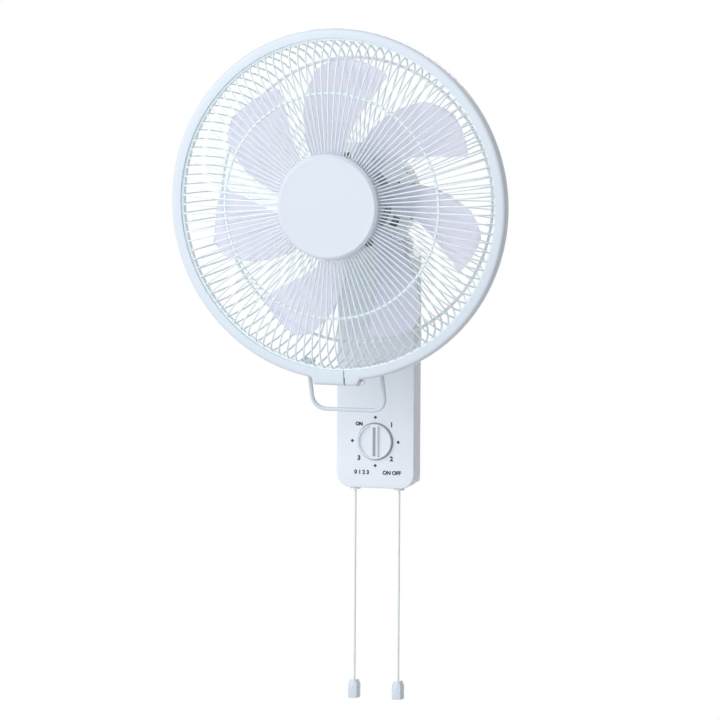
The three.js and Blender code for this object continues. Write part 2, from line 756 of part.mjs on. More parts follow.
// A pull switch, its plunger, and the cord with the grip that hangs from it.
function pullSwitch(name, x) {
  const group = new THREE.Group();
  group.position.set(x, -pullOut, 0);
  const bottom = boxBottom + SWITCH_ABOVE_BOTTOM;
  const plungerBottom = bottom - PLUNGER_SHOWS;
  const plungerTop = plungerBottom + PLUNGER_LENGTH;
  const body = cut(
    new THREE.BoxGeometry(SWITCH_WIDTH, SWITCH_DEPTH, SWITCH_HEIGHT).translate(
      0,
      0,
      bottom + SWITCH_HEIGHT / 2,
    ),
    rodUp(PLUNGER_R + GAP, bottom - 1, plungerTop + 1, 12),
  );
  group.add(mesh(name + "_switch", body, greyPlastic));
  group.add(mesh(name + "_plunger", rodUp(PLUNGER_R, plungerBottom, plungerTop, 12), whitePlastic));

  const bushBottom = boxBottom - GAP - BUSH_FLANGE;
  const bush = turnedUp(
    [
      [BUSH_BORE_R, bushBottom],
      [BUSH_R + BUSH_FLANGE, bushBottom],
      [BUSH_R + BUSH_FLANGE, boxBottom - GAP],
      [BUSH_R, boxBottom - GAP],
      [BUSH_R, boxBottom + BUSH_RISE],
      [BUSH_BORE_R, boxBottom + BUSH_RISE],
    ],
    10,
  );
  group.add(mesh(name + "_cord_bush", bush, greyPlastic));

  const gripTop = boxBottom - CORD_VISIBLE;
  const section = new THREE.Shape();
  section.absarc(0, 0, CORD_R, 0, 2 * Math.PI);
  const cord = new THREE.ExtrudeGeometry(section, {
    steps: CORD_STEPS,
    curveSegments: CORD_SIDES / 2,
    extrudePath: new THREE.LineCurve3(
      new THREE.Vector3(0, 0, plungerBottom - GAP),
      new THREE.Vector3(0, 0, gripTop + GAP),
    ),
  });
  group.add(mesh(name + "_pull_cord", cord, cordFibre));
  const half = PULL_GRIP_WIDTH / 2;
  const gripBottom = gripTop - PULL_GRIP_LENGTH;
  const outline = new THREE.Shape();
  outline.moveTo(-half + PULL_GRIP_EDGE, gripBottom);
  outline.lineTo(half - PULL_GRIP_EDGE, gripBottom);
  outline.lineTo(half, gripBottom + PULL_GRIP_EDGE);
  outline.lineTo(half, gripTop - PULL_GRIP_SHOULDER);
  outline.lineTo(PULL_GRIP_TOP / 2, gripTop);
  outline.lineTo(-PULL_GRIP_TOP / 2, gripTop);
  outline.lineTo(-half, gripTop - PULL_GRIP_SHOULDER);
  outline.lineTo(-half, gripBottom + PULL_GRIP_EDGE);
  const grip = new THREE.ExtrudeGeometry(outline, {
    depth: PULL_GRIP_DEPTH - 2 * PULL_GRIP_EDGE,
    bevelThickness: PULL_GRIP_EDGE,
    bevelSize: PULL_GRIP_EDGE,
    bevelOffset: -PULL_GRIP_EDGE,
    bevelSegments: 1,
  })
    .rotateX(Math.PI / 2)
    .translate(0, PULL_GRIP_DEPTH / 2 - PULL_GRIP_EDGE, 0);
  group.add(mesh(name + "_pull_grip", grip, whitePlastic));
  return group;
}

// ---------------------------------------------------------------- neck and swing drive

function swingNeck() {
  const cheekOutline = new THREE.Shape();
  cheekOutline.moveTo(-CHEEK_R, discTop - 1);
  cheekOutline.lineTo(CHEEK_R, discTop - 1);
  cheekOutline.lineTo(CHEEK_R, pinZ);
  cheekOutline.absarc(0, pinZ, CHEEK_R, 0, Math.PI);
  const inner = TONGUE_WIDTH / 2 + GAP;
  const bolt = rod(PIN_R + GAP, -PIN_CUT_HALF, PIN_CUT_HALF, 10)
    .rotateZ(Math.PI / 2)
    .translate(0, 0, pinZ);
  return cut(
    join(
      turnedUp(
        [
          [SPIGOT_BORE_R, armBottom - 1],
          [SPIGOT_R, armBottom - 1],
          [SPIGOT_R, discBottom],
          [NECK_DISC_R, discBottom],
          [NECK_DISC_R, discTop],
          [SPIGOT_BORE_R, discTop],
        ],
        20,
      ),
      sideSlab(cheekOutline, inner, inner + CHEEK),
      sideSlab(cheekOutline, -inner - CHEEK, -inner),
    ),
    bolt,
  );
}

// The arm on the neck has a slot, and the crank's pin runs in it.
function swingArm() {
  const reach = CRANK_AHEAD + CRANK_THROW + CRANK_PIN_R + GAP;
  const nearest = CRANK_AHEAD - CRANK_THROW / 3;
  const half = CRANK_PIN_R + ARM_SLACK;
  const near = SPIGOT_R + ARM_COLLAR / 2;
  const far = reach + ARM_EDGE;
  const bar = new THREE.BoxGeometry(2 * (half + ARM_EDGE), far - near, ARM_SHEET);
  bar.translate(0, -(far + near) / 2, (armBottom + armTop) / 2);
  const slot = new THREE.BoxGeometry(2 * half, reach - nearest, ARM_SHEET + 2);
  slot.translate(0, -(reach + nearest) / 2, (armBottom + armTop) / 2);
  return cut(
    join(tubeUp(SPIGOT_R + GAP, SPIGOT_R + ARM_COLLAR, armBottom, armTop), bar),
    slot,
  );
}

function swingCrank() {
  return cut(
    join(
      rodUp(CRANK_DISC_R, crankBottom, crankTop, 16),
      rodUp(CRANK_PIN_R, crankBottom + 1, armTop + 1, 10).translate(0, -CRANK_THROW, 0),
    ),
    rodUp(SWING_SHAFT_R + GAP, crankBottom - 1, crankTop + 1, 10),
  );
}

function swingMotor() {
  return join(
    rodUp(SWING_MOTOR_R, swingMotorBottom, swingMotorTop, 16),
    rodUp(SWING_SHAFT_R, swingMotorTop - 1, crankTop, 10),
  );
}

function neck() {
  const group = new THREE.Group();
  group.position.y = -NECK_OUT;
  const bearing = tubeUp(SPIGOT_R + GAP, bearingR, bossBottom + GAP, bossTop, 20);
  group.add(mesh("neck_bearing", bearing, greyPlastic));
  group.add(mesh("swing_neck", swingNeck(), whitePlastic));
  const clipTop = bossBottom - GAP;
  const clip = tubeUp(SPIGOT_R + GAP, SPIGOT_R + CLIP_WIDTH, clipTop - CLIP, clipTop);
  group.add(mesh("neck_retaining_ring", clip, bareSteel));
  group.add(mesh("swing_arm", swingArm(), bareSteel));

  const drive = new THREE.Group();
  drive.position.y = -CRANK_AHEAD;
  drive.add(mesh("swing_motor", swingMotor(), castAlloy));
  drive.add(mesh("swing_crank", swingCrank(), greyPlastic));
  group.add(drive);

  const faceX = TONGUE_WIDTH / 2 + GAP + CHEEK + GAP;
  const bolt = join(
    rod(PIN_R, -faceX - TILT_NUT - 1, faceX + 1, 10),
    rod(TILT_HEAD_R, faceX, faceX + TILT_NUT, 6),
  );
  const tiltBolt = mesh("tilt_bolt", bolt.rotateZ(-Math.PI / 2), bareSteel);
  tiltBolt.position.z = pinZ;
  const nut = cut(
    rod(TILT_HEAD_R, -faceX - TILT_NUT, -faceX, 6),
    rod(PIN_R + GAP, -faceX - TILT_NUT - 1, -faceX + 1, 10),
  );
  const tiltNut = mesh("tilt_nut", nut.rotateZ(-Math.PI / 2), bareSteel);
  tiltNut.position.z = pinZ;
  group.add(tiltBolt, tiltNut);
  return group;
}

// ---------------------------------------------------------------- guards

// Straight wires from a hub plate to a rim, all in one closed surface. Each station is
// { r, h, depth, width }: radius, distance behind the ring plane, and the wire's section.
function guardGeometry(stations, hubBoreR, rimR, hubSides, rimSides) {
  const positions = [];
  const triangles = [];
  const last = stations.length - 1;

  const vertex = (r, h, angle, across = 0) => {
    positions.push(
      r * Math.sin(angle) + across * Math.cos(angle),
      h,
      r * Math.cos(angle) - across * Math.sin(angle),
    );
    return positions.length / 3 - 1;
  };
  const quad = (a, b, c, d) => triangles.push(a, b, c, a, c, d);

  // The wire's depth lies square to its run, and along the axis at the hub and the rim.
  const across = stations.map((station, k) => {
    if (k === 0 || k === last) return { r: 0, h: 1 };
    const run = new THREE.Vector2(
      stations[k + 1].r - stations[k - 1].r,
      stations[k + 1].h - stations[k - 1].h,
    ).normalize();
    return { r: -run.y, h: run.x };
  });

  const wires = [];
  for (let i = 0; i < RIB_COUNT; i++) {
    const angle = (2 * Math.PI * (i + 0.5)) / RIB_COUNT;
    wires.push(
      stations.map((s, k) => {
        const corner = (side, face) =>
          vertex(
            s.r + (face * across[k].r * s.depth) / 2,
            s.h + (face * across[k].h * s.depth) / 2,
            angle,
            (side * s.width) / 2,
          );
        return { left: corner(-1, -1), right: corner(1, -1), back: corner(0, 1) };
      }),
    );
  }
  for (const wire of wires) {
    for (let k = 0; k < last; k++) {
      const [a, b] = [wire[k], wire[k + 1]];
      quad(a.right, a.back, b.back, b.right);
      quad(a.left, b.left, b.back, a.back);
      quad(a.left, a.right, b.right, b.left);
    }
  }

  const circle = (r, h, sides) =>
    Array.from({ length: sides }, (_, j) => vertex(r, h, (2 * Math.PI * j) / sides));
  const frontEdge = (k) => wires.flatMap((wire) => [wire[k].left, wire[k].right]);
  const backEdge = (k) => wires.map((wire) => wire[k].back);
  const angleOf = (id) => {
    const angle = Math.atan2(positions[3 * id], positions[3 * id + 2]);
    return angle < -1e-6 ? angle + 2 * Math.PI : Math.max(angle, 0);
  };

  // Fills the flat ring between an inner and an outer loop.
  const fill = (inner, outer, facesFront) => {
    let i = 0;
    let j = 0;
    const at = (loop, n) => angleOf(loop[n % loop.length]) + (n >= loop.length ? 2 * Math.PI : 0);
    while (i < inner.length || j < outer.length) {
      const a = inner[i % inner.length];
      const b = outer[j % outer.length];
      const innerFirst = at(inner, i + 1) < at(outer, j + 1);
      const stepInner = j >= outer.length || (i < inner.length && innerFirst);
      const next = stepInner ? inner[(i + 1) % inner.length] : outer[(j + 1) % outer.length];
      triangles.push(...(facesFront ? [a, next, b] : [a, b, next]));
      if (stepInner) i++;
      else j++;
    }
  };

  const hub = stations[0];
  const hubFront = circle(hubBoreR, hub.h - hub.depth / 2, hubSides);
  const hubBack = circle(hubBoreR, hub.h + hub.depth / 2, hubSides);
  fill(hubFront, frontEdge(0), true);
  fill(hubBack, backEdge(0), false);
  hubFront.forEach((front, j) => {
    const n = (j + 1) % hubSides;
    quad(front, hubBack[j], hubBack[n], hubFront[n]);
  });

  const rim = stations[last];
  const rimFront = circle(rimR, rim.h - rim.depth / 2, rimSides);
  const rimBack = circle(rimR, rim.h + rim.depth / 2, rimSides);
  fill(frontEdge(last), rimFront, true);
  fill(backEdge(last), rimBack, false);
  rimFront.forEach((front, j) => {
    const n = (j + 1) % rimSides;
    quad(front, rimFront[n], rimBack[n], rimBack[j]);
  });

  wires.forEach((wire, i) => {
    const next = wires[(i + 1) % RIB_COUNT];
    quad(wire[0].right, next[0].left, next[0].back, wire[0].back);
    quad(wire[last].right, wire[last].back, next[last].back, next[last].left);
  });

  const geometry = new THREE.BufferGeometry();
  geometry.setAttribute("position", new THREE.Float32BufferAttribute(positions, 3));
  geometry.setIndex(triangles);
  return geometry;
}

const wireWidthAt = (r) =>
  THREE.MathUtils.mapLinear(r, FRONT_HUB_R, rimInnerR, RIB_WIDTH_AT_HUB, RIB_WIDTH);

const station = (r, h, depth = RIB_DEPTH) => ({ r, h, depth, width: wireWidthAt(r) });

const frontStations = [
  station(FRONT_HUB_R, -FRONT_CROWN),
  station(FRONT_BEND_R, -FRONT_BEND),
  station(FRONT_SHOULDER_R, -FRONT_SHOULDER),
  station(rimInnerR, -rimMiddle, rimDepth),
];

const rearStations = [
  station(REAR_HUB_R, REAR_CROWN),
  station(REAR_BEND_R, REAR_BEND),
  station(REAR_SHOULDER_R, REAR_SHOULDER),
  station(rimInnerR, rimMiddle, rimDepth),
];

// The ring wire that ties the front wires together, just inside them.
function frontRingWire() {
  const share = (FRONT_RING_R - FRONT_HUB_R) / (FRONT_BEND_R - FRONT_HUB_R);
  const h = THREE.MathUtils.lerp(-FRONT_CROWN, -FRONT_BEND, share) + RIB_DEPTH / 2 + GAP + 0.1;
  return tube(
    FRONT_RING_R - RING_WIRE_WIDTH / 2,
    FRONT_RING_R + RING_WIRE_WIDTH / 2,
    h,
    h + RING_WIRE_DEPTH,
    RING_SIDES,
  );
}

// The one that ties the rear wires, just outside their bend.
function rearRingWire() {
  const h = REAR_BEND + RIB_DEPTH / 2 + GAP;
  return tube(
    REAR_BEND_R - RING_WIRE_WIDTH / 2,
    REAR_BEND_R + RING_WIRE_WIDTH / 2,
    h,
    h + RING_WIRE_DEPTH,
    RING_SIDES,
  );
}

// A channel that holds both rims, split at the bottom between two lugs.
function clampRing() {
  const half = RING_DEPTH / 2;
  const inner = RING_R - RING_WIDTH;
  const channelR = RING_R - WALL;
  const band = turned(
    [
      [inner, -half],
      [RING_R - RING_CHAMFER, -half],
      [RING_R, -half + RING_CHAMFER],
      [RING_R, half - RING_CHAMFER],
      [RING_R - RING_CHAMFER, half],
      [inner, half],
      [inner, channelHalf],
      [channelR, channelHalf],
      [channelR, -channelHalf],
      [inner, -channelHalf],
    ],
    RING_SIDES,
  );
  const lugs = cut(
    new THREE.BoxGeometry(CLASP_LEFT + CLASP_RIGHT, RING_DEPTH - 2, 2 * CLASP_PROUD + 10)
      .translate((CLASP_RIGHT - CLASP_LEFT) / 2, 0, -RING_R + 5),
    rod(channelR + 0.4, -RING_DEPTH, RING_DEPTH, RING_SIDES),
  );
  const slit = new THREE.BoxGeometry(CLASP_SLIT, 3 * RING_DEPTH, 4 * RING_WIDTH);
  const screwWay = rod(CLASP_SCREW_R + GAP, -CLASP_SCREW_REACH - 1, CLASP_RIGHT + 1, 10)
    .rotateZ(-Math.PI / 2)
    .translate(0, 0, -claspScrewR);
  return cut(join(band, lugs), slit.translate(CLASP_SLIT_X, 0, -RING_R), screwWay);
}

// The wire loop under the guard, by which the head is tilted.
function tiltHandle() {
  const half = HANDLE_WIDTH / 2;
  const bottom = -RING_R - HANDLE_DROP;
  const slope = Math.atan2(rimInnerR - REAR_SHOULDER_R, REAR_SHOULDER - rimMiddle);
  const seatR = rimInnerR - (HANDLE_ROOT_BACK - rimMiddle) * Math.tan(slope);
  const offset = RIB_DEPTH / 2 + GAP + HANDLE_FOOT / 2;
  const rootR = seatR + offset * Math.cos(slope);
  const rootBack = HANDLE_ROOT_BACK + offset * Math.sin(slope);
  const turn = Math.asin(half / rootR);
  const rootZ = -rootR * Math.cos(turn);
  const feet = [-1, 1].map((side) =>
    new THREE.BoxGeometry(HANDLE_FOOT_WIDTH, HANDLE_FOOT_LENGTH, HANDLE_FOOT)
      .rotateX(slope)
      .translate(0, rootBack, -rootR)
      .rotateY(-side * turn),
  );
  const leanBack = (z) =>
    THREE.MathUtils.mapLinear(z, rootZ, bottom, rootBack, HANDLE_FOOT_BACK);
  const point = (x, z) => new THREE.Vector3(x, leanBack(z), z);
  const cornerZ = bottom + HANDLE_CORNER_R;
  const cornerX = half - HANDLE_CORNER_R;
  const path = new THREE.CurvePath();
  path.add(new THREE.LineCurve3(point(-half, rootZ), point(-half, cornerZ)));
  path.add(
    new THREE.QuadraticBezierCurve3(
      point(-half, cornerZ),
      point(-half, bottom),
      point(-cornerX, bottom),
    ),
  );
  path.add(new THREE.LineCurve3(point(-cornerX, bottom), point(cornerX, bottom)));
  path.add(
    new THREE.QuadraticBezierCurve3(
      point(cornerX, bottom),
      point(half, bottom),
      point(half, cornerZ),
    ),
  );
  path.add(new THREE.LineCurve3(point(half, cornerZ), point(half, rootZ)));
  const section = new THREE.Shape();
  section.absarc(0, 0, HANDLE_WIRE_R, 0, 2 * Math.PI);
  const wire = new THREE.ExtrudeGeometry(section, {
    steps: HANDLE_STEPS,
    curveSegments: 3,
    extrudePath: path,
  });
  return join(wire, ...feet);
}

// ---------------------------------------------------------------- blades and motor

// One blade: a cambered, twisted plate. Its trailing edge lies nearest the front.
function bladeGeometry(turnDegrees) {
  const positions = [];
  const triangles = [];
  const rows = BLADE_EDGES.length;
  const columns = BLADE_CHORD_STEPS + 1;
  for (const face of [-1, 1]) {
    for (const { at, trailing, leading, rise } of BLADE_EDGES) {
      const r = THREE.MathUtils.lerp(bladeRootR, BLADE_R, at);
      for (let c = 0; c < columns; c++) {
        const share = c / BLADE_CHORD_STEPS;
        const degrees = THREE.MathUtils.lerp(trailing, leading, share) + turnDegrees;
        const angle = THREE.MathUtils.degToRad(degrees);
        const camber = BLADE_CAMBER * 4 * share * (1 - share) * rise;
        const h = BLADE_PLANE + (share - 0.5) * rise * BLADE_DEPTH + camber - BLADE_CAMBER / 2;
        positions.push(
          r * Math.sin(angle),
          h + (face * BLADE_THICKNESS) / 2,
          r * Math.cos(angle),
        );
      }
    }
  }
  const id = (face, row, column) => (face * rows + row) * columns + column;
  const quad = (a, b, c, d) => triangles.push(a, b, c, a, c, d);
  for (let row = 0; row < rows - 1; row++) {
    for (let c = 0; c < BLADE_CHORD_STEPS; c++) {
      quad(id(0, row, c), id(0, row, c + 1), id(0, row + 1, c + 1), id(0, row + 1, c));
      quad(id(1, row, c), id(1, row + 1, c), id(1, row + 1, c + 1), id(1, row, c + 1));
    }
    quad(id(0, row, 0), id(0, row + 1, 0), id(1, row + 1, 0), id(1, row, 0));
    const e = BLADE_CHORD_STEPS;
    quad(id(0, row, e), id(1, row, e), id(1, row + 1, e), id(0, row + 1, e));
  }
  for (let c = 0; c < BLADE_CHORD_STEPS; c++) {
    quad(id(0, 0, c), id(1, 0, c), id(1, 0, c + 1), id(0, 0, c + 1));
    const e = rows - 1;
    quad(id(0, e, c), id(0, e, c + 1), id(1, e, c + 1), id(1, e, c));
  }
  const geometry = new THREE.BufferGeometry();
  geometry.setAttribute("position", new THREE.Float32BufferAttribute(positions, 3));
  geometry.setIndex(triangles);
  return geometry;
}

function fanBlades() {
  const wall = BLADE_HUB_WALL;
  const hub = turned(
    [
      [SHAFT_R + GAP, hubFront],
      [BLADE_HUB_R - 4, hubFront],
      [BLADE_HUB_R, hubFront + 4],
      [BLADE_HUB_R, hubBack],
      [BLADE_HUB_R - wall, hubBack],
      [BLADE_HUB_R - wall, hubFront + wall + 2],
      [SHAFT_R + 5, hubFront + wall + 2],
      [SHAFT_R + 5, hubBack - 3],
      [SHAFT_R + GAP, hubBack - 3],
    ],
    2 * BLADE_COUNT,
  );
  const blades = Array.from({ length: BLADE_COUNT }, (_, i) =>
    bladeGeometry(BLADE_TURN + (360 * i) / BLADE_COUNT),
  );
  return join(hub, ...blades);
}

function rotor() {
  const group = new THREE.Group();
  const shaftBack = bracketFront + BEARING_WIDTH + 1;
  group.add(mesh("motor_shaft", rod(SHAFT_R, -SHAFT_AHEAD, shaftBack), bareSteel));
  const core = tube(
    SHAFT_R + GAP,
    STATOR_BORE_R - ROTOR_AIR_GAP,
    statorFront - 1,
    statorBack + 1,
    16,
  );
  group.add(mesh("rotor_core", core, castAlloy));
  group.add(mesh("fan_blades", fanBlades(), bladePlastic));
  const nutBack = hubFront - GAP;
  const nutFront = -SHAFT_AHEAD - 2;
  const nut = turned(
    [
      [0, nutFront],
      [BLADE_NUT_R - 7, nutFront],
      [BLADE_NUT_R - 1.5, nutFront + 5],
      [BLADE_NUT_R, nutBack],
      [SHAFT_R + GAP, nutBack],
      [SHAFT_R + GAP, -SHAFT_AHEAD - GAP],
      [0, -SHAFT_AHEAD - GAP],
    ],
    16,
  );
  group.add(mesh("blade_nut", nut, whitePlastic));
  return group;
}

function frontShield() {
  return turned([
    [BEARING_R + GAP, noseFront],
    [NOSE_R, noseFront],
    [NOSE_R, shieldFront],
    [SHIELD_R, shieldFront],
    [SHIELD_R, statorFront - GAP],
    [SHIELD_R - SHIELD_RIM, statorFront - GAP],
    [SHIELD_R - SHIELD_RIM, shieldBack],
    [BEARING_R + GAP, shieldBack],
  ]);
}

// The rear shield, with the tongue that reaches back and down to the tilt bolt.
function tiltBracket() {
  const tongue = new THREE.Shape();
  tongue.moveTo(-HEAD_REACH, -PIN_BELOW_AXIS - TONGUE_R);
  tongue.lineTo(-bracketFront - 1, -TONGUE_ROOT_LOW);
  tongue.lineTo(-bracketFront - 1, -TONGUE_ROOT_HIGH);
  tongue.lineTo(-HEAD_REACH, -PIN_BELOW_AXIS + TONGUE_R);
  tongue.absarc(-HEAD_REACH, -PIN_BELOW_AXIS, TONGUE_R, Math.PI / 2, 1.5 * Math.PI);
  const boltWay = rod(PIN_R + GAP, -PIN_CUT_HALF, PIN_CUT_HALF, 10)
    .rotateZ(Math.PI / 2)
    .translate(0, HEAD_REACH, -PIN_BELOW_AXIS);
  const housingBack = bracketFront + BEARING_WIDTH + 2;
  const screwHoles = [-COVER_SCREW_X, COVER_SCREW_X].map((x) =>
    rod(SCREW_R + GAP, bracketFront - 1, bracketBack + 1, 8).translate(x, 0, COVER_SCREW_Z),
  );
  const shield = turned([
    [BEARING_R + GAP, bracketFront],
    [SHIELD_R - SHIELD_RIM, bracketFront],
    [SHIELD_R - SHIELD_RIM, statorBack + GAP],
    [SHIELD_R, statorBack + GAP],
    [SHIELD_R, bracketBack],
    [NOSE_R, bracketBack],
    [NOSE_R, housingBack],
    [BEARING_R + GAP, housingBack],
  ]);
  return cut(
    join(shield, sideSlab(tongue, -TONGUE_WIDTH / 2, TONGUE_WIDTH / 2)),
    boltWay,
    ...screwHoles,
  );
}

function motorFrontCover() {
  const shell = turned(
    [
      [NOSE_R + 1, motorFront],
      [MOTOR_R - 2, motorFront],
      [MOTOR_R, motorFront + 2],
      [MOTOR_R, motorCoverBack],
      [MOTOR_R - WALL, motorCoverBack],
      [MOTOR_R - WALL, motorFront + WALL],
      [NOSE_R + 1, motorFront + WALL],
    ],
    28,
  );
  const vents = Array.from({ length: VENT_COUNT }, (_, i) =>
    new THREE.BoxGeometry(VENT_WIDTH, VENT_LENGTH, 4 * WALL)
      .translate(0, (motorFront + motorCoverBack) / 2, MOTOR_R)
      .rotateY((2 * Math.PI * i) / VENT_COUNT),
  );
  return cut(shell, ...vents);
}

function motorRearCover() {
  const outer = (t) => [
    [MOTOR_R - t, rearCoverFront],
    [MOTOR_R - REAR_COVER_DRAW - t, rearCoverFront + 0.43 * REAR_COVER_DEPTH],
    [0.76 * MOTOR_R - t, rearCoverBack - 0.2 * REAR_COVER_DEPTH - 0.6 * t],
    [REAR_COVER_FLAT_R - 0.4 * t, rearCoverBack - t],
    [0, rearCoverBack - t],
  ];
  const shell = turned([...outer(0), ...outer(WALL).reverse()], 24);
  const tongueWay = new THREE.BoxGeometry(
    TONGUE_WIDTH + 4 * GAP,
    REAR_COVER_DEPTH,
    MOTOR_R - TONGUE_ROOT_HIGH,
  ).translate(0, rearCoverBack + 1, -(MOTOR_R + TONGUE_ROOT_HIGH) / 2 - 2);
  const screwHoles = [-COVER_SCREW_X, COVER_SCREW_X].map((x) =>
    rod(SCREW_R + GAP, rearCoverBack - 10, rearCoverBack + 1, 8).translate(x, 0, COVER_SCREW_Z),
  );
  return cut(shell, tongueWay, ...screwHoles);
}

function motor() {
  const group = new THREE.Group();
  const front = noseFront + 1.2;
  const nutBack = REAR_CROWN - RIB_DEPTH / 2 - GAP;
  group.add(mesh("front_shield", frontShield(), castAlloy));
  group.add(
    mesh(
      "front_bearing",
      tube(SHAFT_R + GAP, BEARING_R, front, front + BEARING_WIDTH, 14),
      bareSteel,
    ),
  );
  group.add(
    mesh("stator_core", tube(STATOR_BORE_R, STATOR_R, statorFront, statorBack, 20), bareSteel),
  );
  const frontCoils = tube(COIL_INNER_R, COIL_OUTER_R, shieldBack + GAP, statorFront - GAP, 16);
  group.add(mesh("front_coils", frontCoils, copper));
  const rearCoils = tube(COIL_INNER_R, COIL_OUTER_R, statorBack + GAP, bracketFront - GAP, 16);
  group.add(mesh("rear_coils", rearCoils, copper));
  const rearBearing = tube(
    SHAFT_R + GAP,
    BEARING_R,
    bracketFront + GAP,
    bracketFront + GAP + BEARING_WIDTH,
    14,
  );
  group.add(mesh("rear_bearing", rearBearing, bareSteel));
  group.add(mesh("tilt_bracket", tiltBracket(), castAlloy));
  group.add(mesh("motor_front_cover", motorFrontCover(), whitePlastic));
  group.add(mesh("motor_rear_cover", motorRearCover(), whitePlastic));
  for (const [where, x] of [["left", -COVER_SCREW_X], ["right", COVER_SCREW_X]]) {
    const length = rearCoverBack - bracketFront - 1;
    const rearScrew = mesh("rear_cover_screw_" + where, screw(length), bareSteel);
    rearScrew.position.set(x, rearCoverBack + GAP, COVER_SCREW_Z);
    group.add(rearScrew);
  }
  const guardNut = turned(
    [
      [NOSE_R + GAP, nutBack - GUARD_NUT],
      [GUARD_NUT_R - 8, nutBack - GUARD_NUT],
      [GUARD_NUT_R, nutBack - GUARD_NUT / 2],
      [GUARD_NUT_R, nutBack],
      [NOSE_R + GAP, nutBack],
    ],
    20,
  );
  group.add(mesh("guard_nut", guardNut, greyPlastic));
  return group;
}

function guards() {
  const group = new THREE.Group();
  const front = guardGeometry(frontStations, FRONT_HUB_BORE_R, rimOuterR, HUB_SIDES, RING_SIDES);
  group.add(mesh("front_guard", front, whitePlastic));
  const rear = guardGeometry(rearStations, REAR_HUB_BORE_R, rimOuterR, HUB_SIDES, RING_SIDES);
  group.add(mesh("rear_guard", rear, whitePlastic));
  group.add(mesh("front_guard_ring_wire", frontRingWire(), paintedSteel));
  group.add(mesh("rear_guard_ring_wire", rearRingWire(), paintedSteel));
  group.add(mesh("guard_clamp_ring", clampRing(), whitePlastic));
  const clampScrew = screw(
    CLASP_RIGHT + CLASP_SCREW_REACH,
    CLASP_SCREW_R,
    CLASP_HEAD_R,
    CLASP_HEAD,
  );
  const placed = mesh("clamp_ring_screw", clampScrew.rotateZ(-Math.PI / 2), bareSteel);
  placed.position.set(CLASP_RIGHT + GAP, 0, -claspScrewR);
  group.add(placed);
  const badgeBack = -FRONT_CROWN - RIB_DEPTH / 2 - GAP;
  const badge = turned(
    [
      [0, badgeBack - BADGE_DEPTH],
      [BADGE_R - BADGE_BEVEL, badgeBack - BADGE_DEPTH],
      [BADGE_R, badgeBack - BADGE_DEPTH + BADGE_BEVEL],
      [BADGE_R, badgeBack],
      [0, badgeBack],
    ],
    44,
  );
  group.add(mesh("centre_cap", badge, whitePlastic));
  group.add(mesh("tilt_handle", tiltHandle(), paintedSteel));
  return group;
}

// ---------------------------------------------------------------- the whole fan

const head = new THREE.Group();
head.position.set(0, -ringOut, axisZ);
head.add(guards(), motor(), rotor());

const fan = new THREE.Group();
fan.add(
  controlBox(),
  timer(),
  pullSwitch("speed", -pullX),
  pullSwitch("swing", pullX),
  neck(),
  head,
);

export default fan;
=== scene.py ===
"""Wall mounted fan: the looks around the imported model. Lengths are in millimetres until add() scales them."""
import math

import bmesh
import bpy
from mathutils import Matrix, Vector


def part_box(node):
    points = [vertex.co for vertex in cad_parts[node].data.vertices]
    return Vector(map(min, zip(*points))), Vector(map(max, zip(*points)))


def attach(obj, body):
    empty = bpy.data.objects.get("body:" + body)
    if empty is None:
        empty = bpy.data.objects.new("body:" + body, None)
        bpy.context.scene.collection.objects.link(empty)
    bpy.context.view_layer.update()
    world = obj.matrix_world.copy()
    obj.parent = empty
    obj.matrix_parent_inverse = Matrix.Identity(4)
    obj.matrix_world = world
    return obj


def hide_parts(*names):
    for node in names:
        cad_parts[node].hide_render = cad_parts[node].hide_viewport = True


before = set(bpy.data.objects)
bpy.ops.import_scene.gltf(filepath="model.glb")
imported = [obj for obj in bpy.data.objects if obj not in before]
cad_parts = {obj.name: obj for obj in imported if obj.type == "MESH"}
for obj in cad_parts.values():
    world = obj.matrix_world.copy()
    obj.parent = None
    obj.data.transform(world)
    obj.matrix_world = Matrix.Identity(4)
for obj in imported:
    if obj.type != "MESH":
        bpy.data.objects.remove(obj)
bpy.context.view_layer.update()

MM = 0.001
TAU = 2 * math.pi
scene = bpy.context.scene

# ------------------------------------------------------------ sizes, mostly as in the model
HEAD = (0, -195, 171)  # middle of the guard ring; h is how far behind it something lies, r how far out
RING_R, RING_IN, RING_HALF, RING_STEPS = 180, 169.5, 6.5, 288
RING_ROUNDS = [0.8, 4.2, 2.6, 0.8]  # of its section, from the front's inner corner on
LUG_LEFT, LUG_RIGHT, LUG_PROUD, LUG_RAMP = -28, 25, 5, 4
SLIT_X, SLIT = 8, 1.8
RIM_IN, RIM_OUT, RIM_LAP, RIM_HALF, RIM_EDGE = 168.2, 177.35, 1, 1.9, 0.8
WIRES, WIRE_DEEP, WIRE_WIDE, WIRE_WIDENS = 108, 2.4, 1.3, 0.5
FRONT_LINE = [(50, -31.5), (90, -30), (128, -27.3), (150, -21.5), (162, -13), (168.2, -2.1)]  # r, h
REAR_LINE = [(58, 56.5), (104, 53.6), (144, 50), (154, 43), (160.5, 31), (165.5, 14), (168.2, 2.1)]
FRONT_HUB_BORE, REAR_HUB_BORE, HUB_LAP, HUB_HALF, HUB_EDGE = 38, 30, 1, 1.5, 0.7
